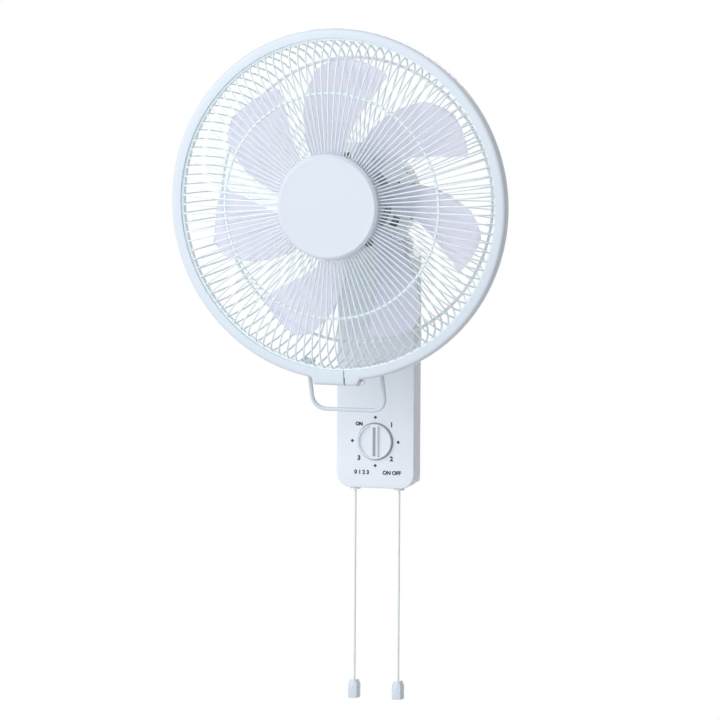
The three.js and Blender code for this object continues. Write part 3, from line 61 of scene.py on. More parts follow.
# Windows in the rear guard's hub and in the motor behind it; angles are clockwise from the top.
WINDOWS, WINDOW_AT, WINDOW_HALF, WINDOW_IN, WINDOW_OUT = 8, 28, 7.5, 41, 49
FRONT_WIRE_R, REAR_WIRE_R, ROUND_WIRE_WIDE, ROUND_WIRE_DEEP = 115, 146, 3, 2.4
CAP_BACK, CAP_FRONT = -33.3, -40.3
CAP_FACE = [(0, 0.5), (46, 0.3), (51.2, 0), (54, 2.4)]  # r, and how far behind CAP_FRONT
HANDLE_HALF, HANDLE_DROP, HANDLE_WIRE_R, HANDLE_CORNER, HANDLE_STEP = 39, 33, 2.2, 16, 6
HANDLE_ROOT_R, HANDLE_ROOT_BACK, HANDLE_FOOT_BACK, HANDLE_SLOPE = 168.2, 17, 34, 0.26
FOOT_HALF, FOOT_THICK, FOOT_ROUND = 6, 4, 1.2
BLADES, BLADE_R, BLADE_ROOT_R, BLADE_TURN = 7, 147.2, 34.75, 5.6
BLADE_PLANE, BLADE_DEPTH, BLADE_CAMBER, BLADE_HALF, BLADE_EDGE_HALF = 21, 30, 4.5, 1, 0.3
BLADE_ROWS = [
    # share of the way from hub to tip, trailing and leading edge in degrees, share of the depth
    (0, -44, -16, 0.62),
    (0.175, -42, -10.5, 0.78),
    (0.35, -36.5, -4.5, 0.92),
    (0.56, -30.5, 3, 1),
    (0.7, -26, 7.5, 1),
    (0.83, -21, 10, 0.94),
    (0.9, -18.6, 11.2, 0.84),
    (0.94, -16, 6.8, 0.68),
    (0.97, -13, 1.2, 0.55),
    (1, -9.8, -5.5, 0.4),
]
BLADE_HUB_R, BLADE_HUB_HALF, BLADE_HUB_FACE_R, BLADE_HUB_SLOPE, BLADE_HUB_IN = 36, 15.5, 32, 4, 33.5
BLADE_HUB_WALL, BOSS_R, BOSS_SHORT, SHAFT_R = 4.5, 9, 3, 4.3
MOTOR_SIDES, MOTOR_WALL, MOTOR_MID = 120, 2.2, 99.3
MOTOR_FRONT_LINE = [(14, 58.3), (WINDOW_IN, 58.3), (WINDOW_OUT, 58.3), (50, 58.3), (51.4, 58.9), (52, 60.3),
                    (52, 67.3), (52, 90.3), (52, MOTOR_MID)]  # r, h
WINDOW_STEP, VENT_STEP = 1, 6  # the steps of this line that the openings lie in
MOTOR_REAR_LINE = [(52, 99.6), (47.2, 117.7), (39.5, 133.2), (26, 141.6), (0.5, 141.6)]  # r, h
MOTOR_REAR_ROUNDS = [0, 20, 16, 16, 0]
REAR_VENT_FROM, REAR_VENT_TO = 104, 114  # h
TONGUE_HALF, TONGUE_IN = 8.8, 13  # the way out for the neck's tongue: half its width, and where r begins
BOX_HALF, BOX_BOTTOM, BOX_TOP, BOX_CORNER_R, BOX_EDGE, BOX_DRAFT, BOX_INNER = 42, -130, 119, 15, 1.4, 1.2, 8
COVER_BACK, COVER_FRONT = 58.3, 80.3
TOP_OUT, TOP_Z, TOP_ROUND_OUT, TOP_ROUND_DROP = 28.3, 69, 52, 50
# The second size below is the width of a grey ring round the knob, painted shade for the gap between the knob
# and the box.
DIAL_Z, DIAL_SHADE_RING_WIDE, MARK_R, MARKS_Z, DOT_R = -82, 1.4, 24.8, -114, 1.9
SHADE_RING_IN, SHADE_RING_OUT, DOT_IN, DOT_OUT = 80.2, 80.4, 80.1, 80.38  # how far out the grey ring of painted shade round the knob, and the dots, lie
DIAL_LABELS = ("", "1", "", "2", "", "3", "", "ON")  # clockwise from the top; a dot where there is no text
DIAL_NUMBER, DIAL_WORD, DIAL_BOLD, CORD_BOLD, INK = 6.6, 4.8, 0.36, 0.3, 0.06
CORD_LABELS = (("speed_marks", "0 1 2 3", -14.5, 5.6), ("swing_marks", "ON OFF", 18, 5.4))  # x, size
KNOB_R, KNOB_BACK, KNOB_FRONT, KNOB_RIM, HOLLOW = 18.1, 80.6, 84.2, 1.5, 2.4
BAR_HALF, POINTER_HALF, POINTER_REACH = 4, 1.5, 15
PULL_X, PULL_Y, CORD_TOP, CORD_LOW, CORD_R, CORD_STEPS = 23.7, -73.1, -112.3, -327.7, 1.25, 24
GRIP_TOP, GRIP_BOTTOM, GRIP_HALF, GRIP_DEEP, GRIP_TOP_HALF, GRIP_SHOULDER = -328, -347, 5, 5.8, 3, 4.5
GRIP_ROUNDS = [1.2, 1.2, 1.5, 1, 1, 1.5]  # of its corners, from the lower left on


# ------------------------------------------------------------ mesh helpers
def add(name, shape, material, body, replaces=(), smooth=35):
    """Makes a piece of (verts, faces), in millimetres, that rides on a body."""
    verts, faces = shape
    mesh = bpy.data.meshes.new(name)
    mesh.from_pydata([[c * MM for c in v] for v in verts], [], faces)
    bm = bmesh.new()
    bm.from_mesh(mesh)
    bmesh.ops.remove_doubles(bm, verts=bm.verts, dist=1e-6)
    bmesh.ops.recalc_face_normals(bm, faces=bm.faces)
    bm.to_mesh(mesh)
    bm.free()
    obj = bpy.data.objects.new(name, mesh)
    scene.collection.objects.link(obj)
    mesh.materials.append(material)
    shade(obj, smooth)
    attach(obj, body)
    if replaces:
        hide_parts(*replaces)
    return obj


def shade(obj, degrees):
    """Smooth shading, with edges kept sharp where they turn by more than these degrees."""
    mesh = obj.data
    mesh.polygons.foreach_set("use_smooth", [True] * len(mesh.polygons))
    mesh.set_sharp_from_angle(angle=math.radians(degrees))


def bevel(obj, width):
    m = obj.modifiers.new("edges", "BEVEL")
    m.width = width * MM
    m.segments = 2
    m.limit_method = "ANGLE"
    m.angle_limit = math.radians(35)


def merged(*parts):
    """Several (verts, faces) as one."""
    verts, faces = [], []
    for v, f in parts:
        n = len(verts)
        verts += v
        faces += [[i + n for i in face] for face in f]
    return verts, faces


def moved(shape, matrix):
    return [tuple(matrix @ Vector(v)) for v in shape[0]], shape[1]


def smooth_line(points, steps):
    """A curve through the points, of any dimension, with that many steps between two of them."""
    p = [tuple(2 * a - b for a, b in zip(points[0], points[1])), *points]
    p.append(tuple(2 * a - b for a, b in zip(points[-1], points[-2])))
    line = []
    for i in range(1, len(p) - 2):
        for s in range(steps):
            t = s / steps
            line.append(tuple(
                0.5 * (2 * b + (c - a) * t + (2 * a - 5 * b + 4 * c - d) * t * t
                       + (3 * b - a - 3 * c + d) * t ** 3)
                for a, b, c, d in zip(p[i - 1], p[i], p[i + 1], p[i + 2])))
    line.append(tuple(points[-1]))
    return line


def fillet(points, radius, steps=4, closed=True):
    """Rounds the corners of a polygon. radius is one number, or one for each corner."""
    n = len(points)
    radii = radius if hasattr(radius, "__len__") else [radius] * n
    made = []
    for i, here in enumerate(points):
        if radii[i] <= 0 or (not closed and i in (0, n - 1)):
            made.append(tuple(here))
            continue
        here = Vector(here)
        back = Vector(points[i - 1]) - here
        ahead = Vector(points[(i + 1) % n]) - here
        half = back.angle(ahead) / 2
        cut = min(radii[i] / math.tan(half), 0.49 * back.length, 0.49 * ahead.length)
        a, b = here + back.normalized() * cut, here + ahead.normalized() * cut
        for k in range(steps + 1):
            t = k / steps
            made.append(tuple(a * (1 - t) ** 2 + here * 2 * t * (1 - t) + b * t * t))
    return made


def lathe(profile, centre, sides=96, closed=True):
    """Turns (r, h) points about a line along Y. A closed profile off that line makes a ring."""
    verts, faces, n = [], [], len(profile)
    for k in range(sides):
        c, s = math.cos(TAU * k / sides), math.sin(TAU * k / sides)
        for r, h in profile:
            verts.append(tuple(a + b for a, b in zip(centre, (r * s, h, r * c))))
    for k in range(sides):
        a, b = k * n, (k + 1) % sides * n
        for i in range(n if closed else n - 1):
            j = (i + 1) % n
            if profile[i][0] > 1e-6 or profile[j][0] > 1e-6:
                faces.append([a + i, a + j, b + j, b + i])
    return verts, faces


def loft(loops, ends=True):
    """Joins loops of equal length."""
    n, m = len(loops[0]), len(loops)
    verts = [p for loop in loops for p in loop]
    faces = [
        [a * n + i, a * n + (i + 1) % n, (a + 1) * n + (i + 1) % n, (a + 1) * n + i]
        for a in range(m - 1)
        for i in range(n)
    ]
    if ends:
        faces += [list(range(n)), list(range((m - 1) * n, m * n))]
    return verts, faces


def tube(points, radius, sides=16):
    """A tube along points. Its section turns with the line."""
    pts = [Vector(p) for p in points]
    side, loops = None, []
    for i, p in enumerate(pts):
        run = (pts[min(i + 1, len(pts) - 1)] - pts[max(i - 1, 0)]).normalized()
        side = run.orthogonal() if side is None else side - run * side.dot(run)
        side.normalize()
        up = run.cross(side)
        loops.append([
            tuple(p + (side * math.cos(TAU * k / sides) + up * math.sin(TAU * k / sides)) * radius)
            for k in range(sides)
        ])
    return loft(loops)


def slab(outline, y0, y1, edge, steps=3):
    """An outline in X and Z, made solid from y0 to y1 with its two rims rounded by edge."""
    turns = [math.pi / 2 * k / steps for k in range(steps + 1)]
    rows = [(edge * (1 - math.sin(a)), edge * (1 - math.cos(a))) for a in turns]
    rows = [(y0 + d, t) for t, d in rows] + [(y1 - d, t) for t, d in reversed(rows)]
    n, loops = len(outline), []
    for y, t in rows:
        loop = []
        for i, p in enumerate(outline):
            run = Vector(outline[(i + 1) % n]) - Vector(outline[i - 1])
            inward = Vector((-run.y, run.x)).normalized() * t
            loop.append((p[0] + inward.x, y, p[1] + inward.y))
        loops.append(loop)
    return loft(loops)


# ------------------------------------------------------------ materials
THIN_IOR = 1.12  # a thin moulding hardly bends what is seen through it
GRAIN_DEEP, RIDGE_DEEP = 0.0004, 0.0005  # metres


def finish(name, color, rough=0.4, metal=0.0, vary=0.04, grain=900.0, bump=0.05, patch=18.0,
           coat=0.0, through=0.0):
    """A procedural surface: patches of slightly other colour, uneven gloss and a fine grain.

    vary is how far the colour changes, patch and grain how fine the patches and the grain are, bump how
    deep the grain is, and through how clear the plastic is.
    """
    mat = bpy.data.materials.new(name)
    mat.use_nodes = True
    nodes, links = mat.node_tree.nodes, mat.node_tree.links
    shader = nodes["Principled BSDF"]
    shader.inputs["Metallic"].default_value = metal
    shader.inputs["Coat Weight"].default_value = coat
    shader.inputs["Transmission Weight"].default_value = through
    if through:
        shader.inputs["IOR"].default_value = THIN_IOR
    place = nodes.new("ShaderNodeTexCoord")
    wide = nodes.new("ShaderNodeTexNoise")
    wide.inputs["Scale"].default_value = patch
    wide.inputs["Detail"].default_value = 4
    links.new(place.outputs["Object"], wide.inputs["Vector"])
    ramp = nodes.new("ShaderNodeValToRGB")
    ramp.color_ramp.elements[0].position = 0.3
    ramp.color_ramp.elements[1].position = 0.7
    ramp.color_ramp.elements[0].color = (*[c * (1 - vary) for c in color], 1)
    ramp.color_ramp.elements[1].color = (*[min(1, c * (1 + vary / 2)) for c in color], 1)
    links.new(wide.outputs["Fac"], ramp.inputs["Fac"])
    links.new(ramp.outputs["Color"], shader.inputs["Base Color"])
    gloss = nodes.new("ShaderNodeMapRange")
    gloss.inputs["To Min"].default_value = max(0.02, rough - 0.06)
    gloss.inputs["To Max"].default_value = min(1, rough + 0.08)
    links.new(wide.outputs["Fac"], gloss.inputs["Value"])
    links.new(gloss.outputs["Result"], shader.inputs["Roughness"])
    fine = nodes.new("ShaderNodeTexNoise")
    fine.inputs["Scale"].default_value = grain
    fine.inputs["Detail"].default_value = 3
    links.new(place.outputs["Object"], fine.inputs["Vector"])
    lift = nodes.new("ShaderNodeBump")
    lift.inputs["Strength"].default_value = bump
    lift.inputs["Distance"].default_value = GRAIN_DEEP
    links.new(fine.outputs["Fac"], lift.inputs["Height"])
    links.new(lift.outputs["Normal"], shader.inputs["Normal"])
    return mat


def ribbed(mat, scale, depth, direction="Z", distortion=0.0):
    """Adds fine ridges to a finish, such as turned metal, a winding or a braid."""
    nodes, links = mat.node_tree.nodes, mat.node_tree.links
    wave = nodes.new("ShaderNodeTexWave")
    wave.bands_direction = direction
    wave.inputs["Scale"].default_value = scale
    wave.inputs["Distortion"].default_value = distortion
    place = next(n for n in nodes if n.type == "TEX_COORD")
    links.new(place.outputs["Object"], wave.inputs["Vector"])
    lift = next(n for n in nodes if n.type == "BUMP")
    second = nodes.new("ShaderNodeBump")
    second.inputs["Strength"].default_value = depth
    second.inputs["Distance"].default_value = RIDGE_DEEP
    links.new(wave.outputs["Fac"], second.inputs["Height"])
    links.new(lift.outputs["Normal"], second.inputs["Normal"])
    links.new(second.outputs["Normal"], nodes["Principled BSDF"].inputs["Normal"])
    return mat


# Painted light: the motor's and the neck's white is lighter than the cap and ring's, to make up for the shade
# they lie in behind the blades and the guard.
shade_lifted_white = finish("white_motor_lightened_for_shade", (0.90, 0.93, 0.96), 0.4, vary=0.02, grain=1500, bump=0.06, coat=0.1)
# Painted light: the box's white is lighter than the cap and ring's, to make up for the shade that the head
# casts on the box.
shell = finish("white_shell_lightened_for_shade", (0.785, 0.84, 0.91), 0.4, vary=0.02, grain=1500, bump=0.06, coat=0.1)
ring_white = finish("white_ring", (0.68, 0.755, 0.84), 0.35, vary=0.02, grain=1300, bump=0.05, coat=0.1)
cap_white = finish("white_cap", (0.695, 0.755, 0.85), 0.42, vary=0.012, grain=1800, bump=0.06)
wire_coat = finish("coated_wire", (0.86, 0.95, 0.98), 0.35, vary=0.02, grain=900, bump=0.04, coat=0.2)
blade_tint = finish("blade_plastic", (0.89, 0.89, 0.99), 0.3, vary=0.02, grain=700, bump=0.02, through=0.6)
grey = finish("grey_moulding", (0.34, 0.36, 0.40), 0.5, vary=0.05)
dark = finish("dark_case", (0.03, 0.03, 0.035), 0.55, vary=0.2)
print_grey = finish("printed_marks", (0.035, 0.04, 0.06), 0.6, vary=0.1, bump=0.02)
bright_zinc = finish("bright_zinc", (0.74, 0.76, 0.79), 0.45, 0.5, vary=0.06, patch=60)
zinc = ribbed(finish("zinc_steel", (0.55, 0.56, 0.58), 0.34, 0.95, vary=0.1, patch=60), 320, 0.12, "Z")
alloy = finish("cast_alloy", (0.42, 0.43, 0.45), 0.55, 0.85, vary=0.14, grain=1100, bump=0.35, patch=40)
laminated = ribbed(finish("steel_sheets", (0.30, 0.31, 0.33), 0.42, 0.9, vary=0.1), 480, 0.6, "Y")
copper = finish("copper_winding", (0.52, 0.20, 0.07), 0.3, 0.85, vary=0.15, patch=60)
winding = ribbed(copper, 260, 0.8, "X", 2)
rubber = finish("black_rubber", (0.025, 0.025, 0.027), 0.75, vary=0.15, grain=700, bump=0.2)
braid = ribbed(finish("braided_cord", (0.87, 0.93, 0.96), 0.75, vary=0.05), 420, 0.35, "DIAGONAL")

# What each node that stays in view wears. The others are white mouldings.
CAD_LOOK = {
    zinc: ["wall_bracket", "cover_screw_left", "cover_screw_right", "cover_screw_top", "bracket_lock_screw",
           "timer_spindle", "neck_retaining_ring", "swing_arm", "tilt_bolt", "tilt_nut",
           "rear_cover_screw_left", "rear_cover_screw_right", "front_bearing", "rear_bearing", "motor_shaft"],
    bright_zinc: ["clamp_ring_screw"],
    grey: ["terminal_block", "timer_mechanism", "speed_switch", "swing_switch", "neck_bearing",
           "swing_crank", "guard_nut"],
    alloy: ["swing_motor", "tilt_bracket", "front_shield"],
    laminated: ["stator_core", "rotor_core"],
    winding: ["front_coils", "rear_coils"],
    rubber: ["mains_inlet_gland"],
    dark: ["run_capacitor"],
    shade_lifted_white: ["swing_neck"],
}
BEVELLED = ("swing_neck", "tilt_bracket", "wall_bracket", "guard_nut", "tilt_nut", "tilt_bolt", "swing_crank")
looks = {node: material for material, nodes in CAD_LOOK.items() for node in nodes}
for node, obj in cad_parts.items():
    obj.data.materials.clear()
    obj.data.materials.append(looks.get(node, shell))
    shade(obj, 40)
    if node in BEVELLED:
        bevel(obj, 0.5)

# ------------------------------------------------------------ camera
AZIMUTH, ELEVATION, ROLL, DISTANCE, PX_PER_MM = 19.2, 5.4, 0.36, 24000, 0.983
PICTURE, SENSOR = 720, 36  # the picture's side in pixels, and the sensor's in its own millimetres
RING_PX = (339.8, 204.1)  # where the middle of the guard ring lies in the picture
camera = bpy.data.objects.new("camera", bpy.data.cameras.new("camera"))
scene.collection.objects.link(camera)
scene.camera = camera
az, el = math.radians(AZIMUTH), math.radians(ELEVATION)
back = Vector((math.sin(az) * math.cos(el), -math.cos(az) * math.cos(el), math.sin(el)))
camera.rotation_mode = "QUATERNION"
look = (-back).to_track_quat("-Z", "Y") @ Matrix.Rotation(math.radians(ROLL), 3, "Z").to_quaternion()
camera.rotation_quaternion = look
aim = Vector(HEAD) + look @ Vector((PICTURE / 2 - RING_PX[0], RING_PX[1] - PICTURE / 2, 0)) / PX_PER_MM
camera.location = (aim + back * DISTANCE) * MM
camera.data.sensor_width = SENSOR
camera.data.lens = SENSOR * DISTANCE * PX_PER_MM / PICTURE
camera.data.clip_start, camera.data.clip_end = 0.1, 100


# ------------------------------------------------------------ pull cords
def pull_cord(name, x):
    """A grip and the cord that it hangs on."""
    shoulder = GRIP_TOP - GRIP_SHOULDER
    outline = fillet(
        [(x - GRIP_HALF, GRIP_BOTTOM), (x + GRIP_HALF, GRIP_BOTTOM), (x + GRIP_HALF, shoulder),
         (x + GRIP_TOP_HALF, GRIP_TOP), (x - GRIP_TOP_HALF, GRIP_TOP), (x - GRIP_HALF, shoulder)],
        GRIP_ROUNDS, 5)
    handle = add(name + "_grip_moulded", slab(outline, PULL_Y - GRIP_DEEP, PULL_Y + GRIP_DEEP, 1), ring_white,
                 name + "_pull", [name + "_pull_grip"])
    route = [(x, PULL_Y, CORD_TOP + (CORD_LOW - CORD_TOP) * k / CORD_STEPS) for k in range(CORD_STEPS + 1)]
    curve = bpy.data.curves.new(name + "_cord_braided", "CURVE")
    curve.dimensions = "3D"
    curve.bevel_depth = CORD_R * MM
    curve.bevel_resolution = 3
    curve.use_fill_caps = True
    spline = curve.splines.new("POLY")
    spline.points.add(len(route) - 1)
    for point, place in zip(spline.points, route):
        point.co = (*[c * MM for c in place], 1)
    cord = bpy.data.objects.new(name + "_cord_braided", curve)
    scene.collection.objects.link(cord)
    curve.materials.append(braid)
    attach(cord, name + "_pull")
    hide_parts(name + "_pull_cord")


pull_cord("speed", -PULL_X)
pull_cord("swing", PULL_X)


# ------------------------------------------------------------ guards
def around(r, h, angle, across=0.0):
    """A point of the head: r out from its axis, h behind the ring, at an angle clockwise from the top."""
    return (HEAD[0] + r * math.sin(angle) + across * math.cos(angle), HEAD[1] + h,
            HEAD[2] + r * math.cos(angle) - across * math.sin(angle))


def in_window(degrees):
    """Whether an angle, clockwise from the top, lies in one of the windows."""
    step = 360 / WINDOWS
    return abs((degrees - WINDOW_AT + step / 2) % step - step / 2) < WINDOW_HALF


def plate(r0, r1, h, half, edge):
    """The section of a flat ring."""
    return fillet([(r0, h - half), (r1, h - half), (r1, h + half), (r0, h + half)], edge, 3)


def windowed_hub(inner, outer, h):
    """The rear hub: two rings, with spokes between its windows."""
    parts = [lathe(plate(r0, r1, h, HUB_HALF, HUB_EDGE), HEAD, sides=144)
             for r0, r1 in ((inner, WINDOW_IN), (WINDOW_OUT, outer))]
    spoke = plate(WINDOW_IN - HUB_LAP, WINDOW_OUT + HUB_LAP, h, HUB_HALF, HUB_EDGE)
    step, parts_of_spoke = 360 / WINDOWS, 8
    for k in range(WINDOWS):
        first = WINDOW_AT + k * step + WINDOW_HALF
        last = WINDOW_AT + (k + 1) * step - WINDOW_HALF
        turns = [first + (last - first) * i / parts_of_spoke for i in range(parts_of_spoke + 1)]
        parts.append(loft([[around(r, z, math.radians(t)) for r, z in spoke] for t in turns]))
    return parts


def guard(name, line, bore, replaced, windows=False):
    """Wires along a line of (r, h) from a hub plate to a rim."""
    path = smooth_line(line, 4)
    parts = []
    for i in range(WIRES):
        angle = TAU * (i + 0.5) / WIRES
        loops = []
        for k, (r, h) in enumerate(path):
            a, b = path[max(k - 1, 0)], path[min(k + 1, len(path) - 1)]
            run = Vector((b[0] - a[0], b[1] - a[1])).normalized() * WIRE_DEEP / 2
            wide = WIRE_WIDE + WIRE_WIDENS * (r - path[0][0]) / (RIM_IN - path[0][0])
            loops.append([
                around(r - run.y * math.sin(t), h + run.x * math.sin(t), angle, math.cos(t) * wide / 2)
                for t in [TAU * s / 8 for s in range(8)]
            ])
        parts.append(loft(loops))
    hub_r, hub_h = line[0]
    if windows:
        parts += windowed_hub(bore, hub_r + HUB_LAP, hub_h)
    else:
        parts.append(lathe(plate(bore, hub_r + HUB_LAP, hub_h, HUB_HALF, HUB_EDGE), HEAD, sides=144))
    parts.append(lathe(plate(RIM_IN - RIM_LAP, RIM_OUT, line[-1][1], RIM_HALF, RIM_EDGE), HEAD, sides=216))
    add(name, merged(*parts), wire_coat, "head", [replaced])


def ring_wire(name, r, replaced):
    """A round wire that ties a guard's wires, at the height of the piece that it replaces."""
    low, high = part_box(replaced)
    h = (low.y + high.y) / 2 / MM - HEAD[1]
    section = [(r + ROUND_WIRE_WIDE / 2 * math.cos(t), h + ROUND_WIRE_DEEP / 2 * math.sin(t))
               for t in [TAU * s / 12 for s in range(12)]]
    add(name, lathe(section, HEAD, sides=192), wire_coat, "head", [replaced])


guard("front_guard_wires", FRONT_LINE, FRONT_HUB_BORE, "front_guard")
guard("rear_guard_wires", REAR_LINE, REAR_HUB_BORE, "rear_guard", windows=True)
ring_wire("front_ring_wire_round", FRONT_WIRE_R, "front_guard_ring_wire")
ring_wire("rear_ring_wire_round", REAR_WIRE_R, "rear_guard_ring_wire")


def clamp_ring():
    """The band, open at its slit, and swelling into two lugs at the bottom."""
    start = math.asin((SLIT_X + SLIT / 2) / RING_R)
    end = math.asin((SLIT_X - SLIT / 2) / RING_R)
    loops = []
    for k in range(RING_STEPS + 1):
        a = start + (TAU + end - start) * k / RING_STEPS  # counted from straight down, towards +X
        x = RING_R * math.sin(a)
        outer = RING_R
        if math.cos(a) > 0:
            ramp = min(max((x - LUG_LEFT) / LUG_RAMP, 0), 1, max((LUG_RIGHT - x) / LUG_RAMP, 0))
            ramp = ramp * ramp * (3 - 2 * ramp)
            outer += ramp * ((RING_R + LUG_PROUD) / math.cos(a) - RING_R)
        section = fillet(
            [(RING_IN, -RING_HALF), (outer, -RING_HALF), (outer, RING_HALF), (RING_IN, RING_HALF)],
            RING_ROUNDS, 6)
        loops.append([around(r, h, math.pi - a) for r, h in section])
    add("clamp_ring_band", loft(loops), ring_white, "head", ["guard_clamp_ring"])


clamp_ring()

cap = [(r, CAP_FRONT + h) for r, h in CAP_FACE] + [(CAP_FACE[-1][0], CAP_BACK), (0, CAP_BACK)]
cap = fillet(cap, [0, 1, 0.7, 1.2, 0.5, 0], 5, closed=False)
add("centre_cap_moulded", lathe(cap, HEAD, sides=144, closed=False), cap_white, "head", ["centre_cap"],
    50)


def tilt_handle():
    """A wire bow with a flat foot at each end, under the ring."""
    turn = math.asin(HANDLE_HALF / HANDLE_ROOT_R)
    top = HEAD[2] - HANDLE_ROOT_R * math.cos(turn)
    low = HEAD[2] - RING_R - HANDLE_DROP
    root_y, foot_y = HEAD[1] + HANDLE_ROOT_BACK, HEAD[1] + HANDLE_FOOT_BACK
    corners = [(-HANDLE_HALF, root_y, top), (-HANDLE_HALF, foot_y, low), (HANDLE_HALF, foot_y, low),
               (HANDLE_HALF, root_y, top)]
    line = fillet(corners, [0, HANDLE_CORNER, HANDLE_CORNER, 0], 12, closed=False)
    path = []
    for a, b in zip(line, line[1:]):
        n = max(1, int((Vector(b) - Vector(a)).length / HANDLE_STEP))
        path += [tuple(Vector(a).lerp(Vector(b), i / n)) for i in range(n)]
    path.append(line[-1])
    parts = [tube(path, HANDLE_WIRE_R)]
    half, thick = FOOT_HALF, FOOT_THICK / 2
    foot = fillet([(-half, -thick), (half, -thick), (half, thick), (-half, thick)], FOOT_ROUND, 4)
    seat = Matrix.Translation((0, HANDLE_ROOT_BACK, -HANDLE_ROOT_R)) @ Matrix.Rotation(HANDLE_SLOPE, 4, "X")
    for side in (-1, 1):
        spin = Matrix.Rotation(-side * turn, 4, "Y")
        parts.append(moved(slab(foot, -half, half, 1), Matrix.Translation(HEAD) @ spin @ seat))
    add("tilt_handle_wire", merged(*parts), ring_white, "head", ["tilt_handle"])


tilt_handle()


# ------------------------------------------------------------ blades
def blade(turn):
    """One cambered, twisted blade, thinner towards its edges and its tip."""
    rows = smooth_line(BLADE_ROWS, 4)
    cols = 16
    verts, faces = [], []
    for face in (-1, 1):
        for i, (at, trailing, leading, rise) in enumerate(rows):
            r = BLADE_ROOT_R + at * (BLADE_R - BLADE_ROOT_R)
            for c in range(cols + 1):
                share = c / cols
                angle = math.radians(trailing + (leading - trailing) * share + turn)
                half = min(BLADE_HALF, BLADE_EDGE_HALF + 4 * min(share, 1 - share),
                           BLADE_EDGE_HALF + 0.25 * (len(rows) - 1 - i))
                h = BLADE_PLANE + (share - 0.5) * rise * BLADE_DEPTH
                h += BLADE_CAMBER * (4 * share * (1 - share) * rise - 0.5)
                verts.append(around(r, h + face * half, angle))
    n, m = cols + 1, len(rows)
    for i in range(m - 1):
        for c in range(cols):
            a = i * n + c
            faces += [[a, a + 1, a + n + 1, a + n],
                      [a + n * m, a + n * m + n, a + n * m + n + 1, a + n * m + 1]]
        for c in (0, cols):
            a = i * n + c
            faces.append([a, a + n, a + n + n * m, a + n * m])
    for c in range(cols):
        for i in (0, m - 1):
            a = i * n + c
            faces.append([a, a + 1, a + 1 + n * m, a + n * m])
    return verts, faces


hub_front, hub_back = BLADE_PLANE - BLADE_HUB_HALF, BLADE_PLANE + BLADE_HUB_HALF
boss_back = hub_back - BOSS_SHORT
hub = fillet(
    [(SHAFT_R, hub_front), (BLADE_HUB_FACE_R, hub_front), (BLADE_HUB_R, hub_front + BLADE_HUB_SLOPE),
     (BLADE_HUB_R, hub_back), (BLADE_HUB_IN, hub_back), (BLADE_HUB_IN, hub_front + BLADE_HUB_WALL),
     (BOSS_R, hub_front + BLADE_HUB_WALL), (BOSS_R, boss_back), (SHAFT_R, boss_back)],
    [0, 2, 2, 0.6, 0.6, 2, 2, 0.5, 0], 4)
blades = [blade(BLADE_TURN + 360 * i / BLADES) for i in range(BLADES)]
add("fan_blades_moulded", merged(lathe(hub, HEAD, sides=96), *blades), blade_tint, "rotor", ["fan_blades"],
    50)


# ------------------------------------------------------------ motor covers
def slotted(name, profile, is_open, replaced):
    """A turned shell with a wall. is_open(side, step) says which of its faces are left out."""
    verts, faces, n = [], [], len(profile)
    for k in range(MOTOR_SIDES):
        verts += [around(r, h, TAU * k / MOTOR_SIDES) for r, h in profile]
    for k in range(MOTOR_SIDES):
        for i in range(n - 1):
            if not is_open(k, i):
                a, b = k * n, (k + 1) % MOTOR_SIDES * n
                faces.append([a + i, a + i + 1, b + i + 1, b + i])
    obj = add(name, (verts, faces), shade_lifted_white, "head", [replaced], 40)
    wall = obj.modifiers.new("wall", "SOLIDIFY")
    wall.thickness = MOTOR_WALL * MM
    wall.offset = -1


def side_angle(k):
    """The middle of one side of the shell, in degrees clockwise from the top."""
    return (k + 0.5) * 360 / MOTOR_SIDES


def is_slot(k):
    """Two sides in every six are open where there are vents."""
    return k % 6 in (0, 1)


def front_open(k, i):
    """Windows in the face, and a row of vents round the side."""
    return (i == WINDOW_STEP and in_window(side_angle(k))) or (i == VENT_STEP and is_slot(k))


slotted("motor_front_shell", MOTOR_FRONT_LINE, front_open, "motor_front_cover")
rounded = fillet(MOTOR_REAR_LINE, MOTOR_REAR_ROUNDS, 6, closed=False)
rear_line = []
for a, b in zip(rounded, rounded[1:]):
    rear_line += [a, tuple((u + v) / 2 for u, v in zip(a, b))]
rear_line.append(rounded[-1])


def rear_open(k, i):
    """The way out for the neck's tongue, at the bottom, and a row of vents round the shoulder."""
    angle = abs(side_angle(k) - 180)
    r, h = rear_line[i]
    beside = r * math.sin(math.radians(angle))
    tongue = angle < 60 and beside < TONGUE_HALF and h > MOTOR_MID + 1 and r > TONGUE_IN
    vent = REAR_VENT_FROM < h < REAR_VENT_TO and is_slot(k) and angle > 40
    return tongue or vent


slotted("motor_rear_shell", rear_line, rear_open, "motor_rear_cover")


# ------------------------------------------------------------ front cover of the box
def top_out(z):
    """How far out the face is at a height: it falls away to the top in a quarter ellipse."""
    rise = max(0, z - TOP_Z) / TOP_ROUND_DROP
    return TOP_OUT + TOP_ROUND_OUT * math.sqrt(max(0, 1 - rise * rise))


def half_outline(inset, top):
    """The right half of the box from the front, from the middle of its bottom to that of its top."""
    half, corner, arch = BOX_HALF - inset, BOX_CORNER_R - inset, BOX_HALF - inset
    low, arch_z = BOX_BOTTOM + inset, BOX_TOP - BOX_HALF
    pts = [(0, low), ((half - corner) / 2, low)]
    for k in range(11):
        a = math.pi / 2 * k / 10
        pts.append((half - corner + corner * math.sin(a), low + corner * (1 - math.cos(a))))
    pts += [(half, low + corner + (arch_z - low - corner) * k / 14) for k in range(1, 14)]
    for k in range(25):
        a = math.pi / 2 * k / 24
        pts.append((arch * math.cos(a), min(top, arch_z + arch * math.sin(a))))
    return pts


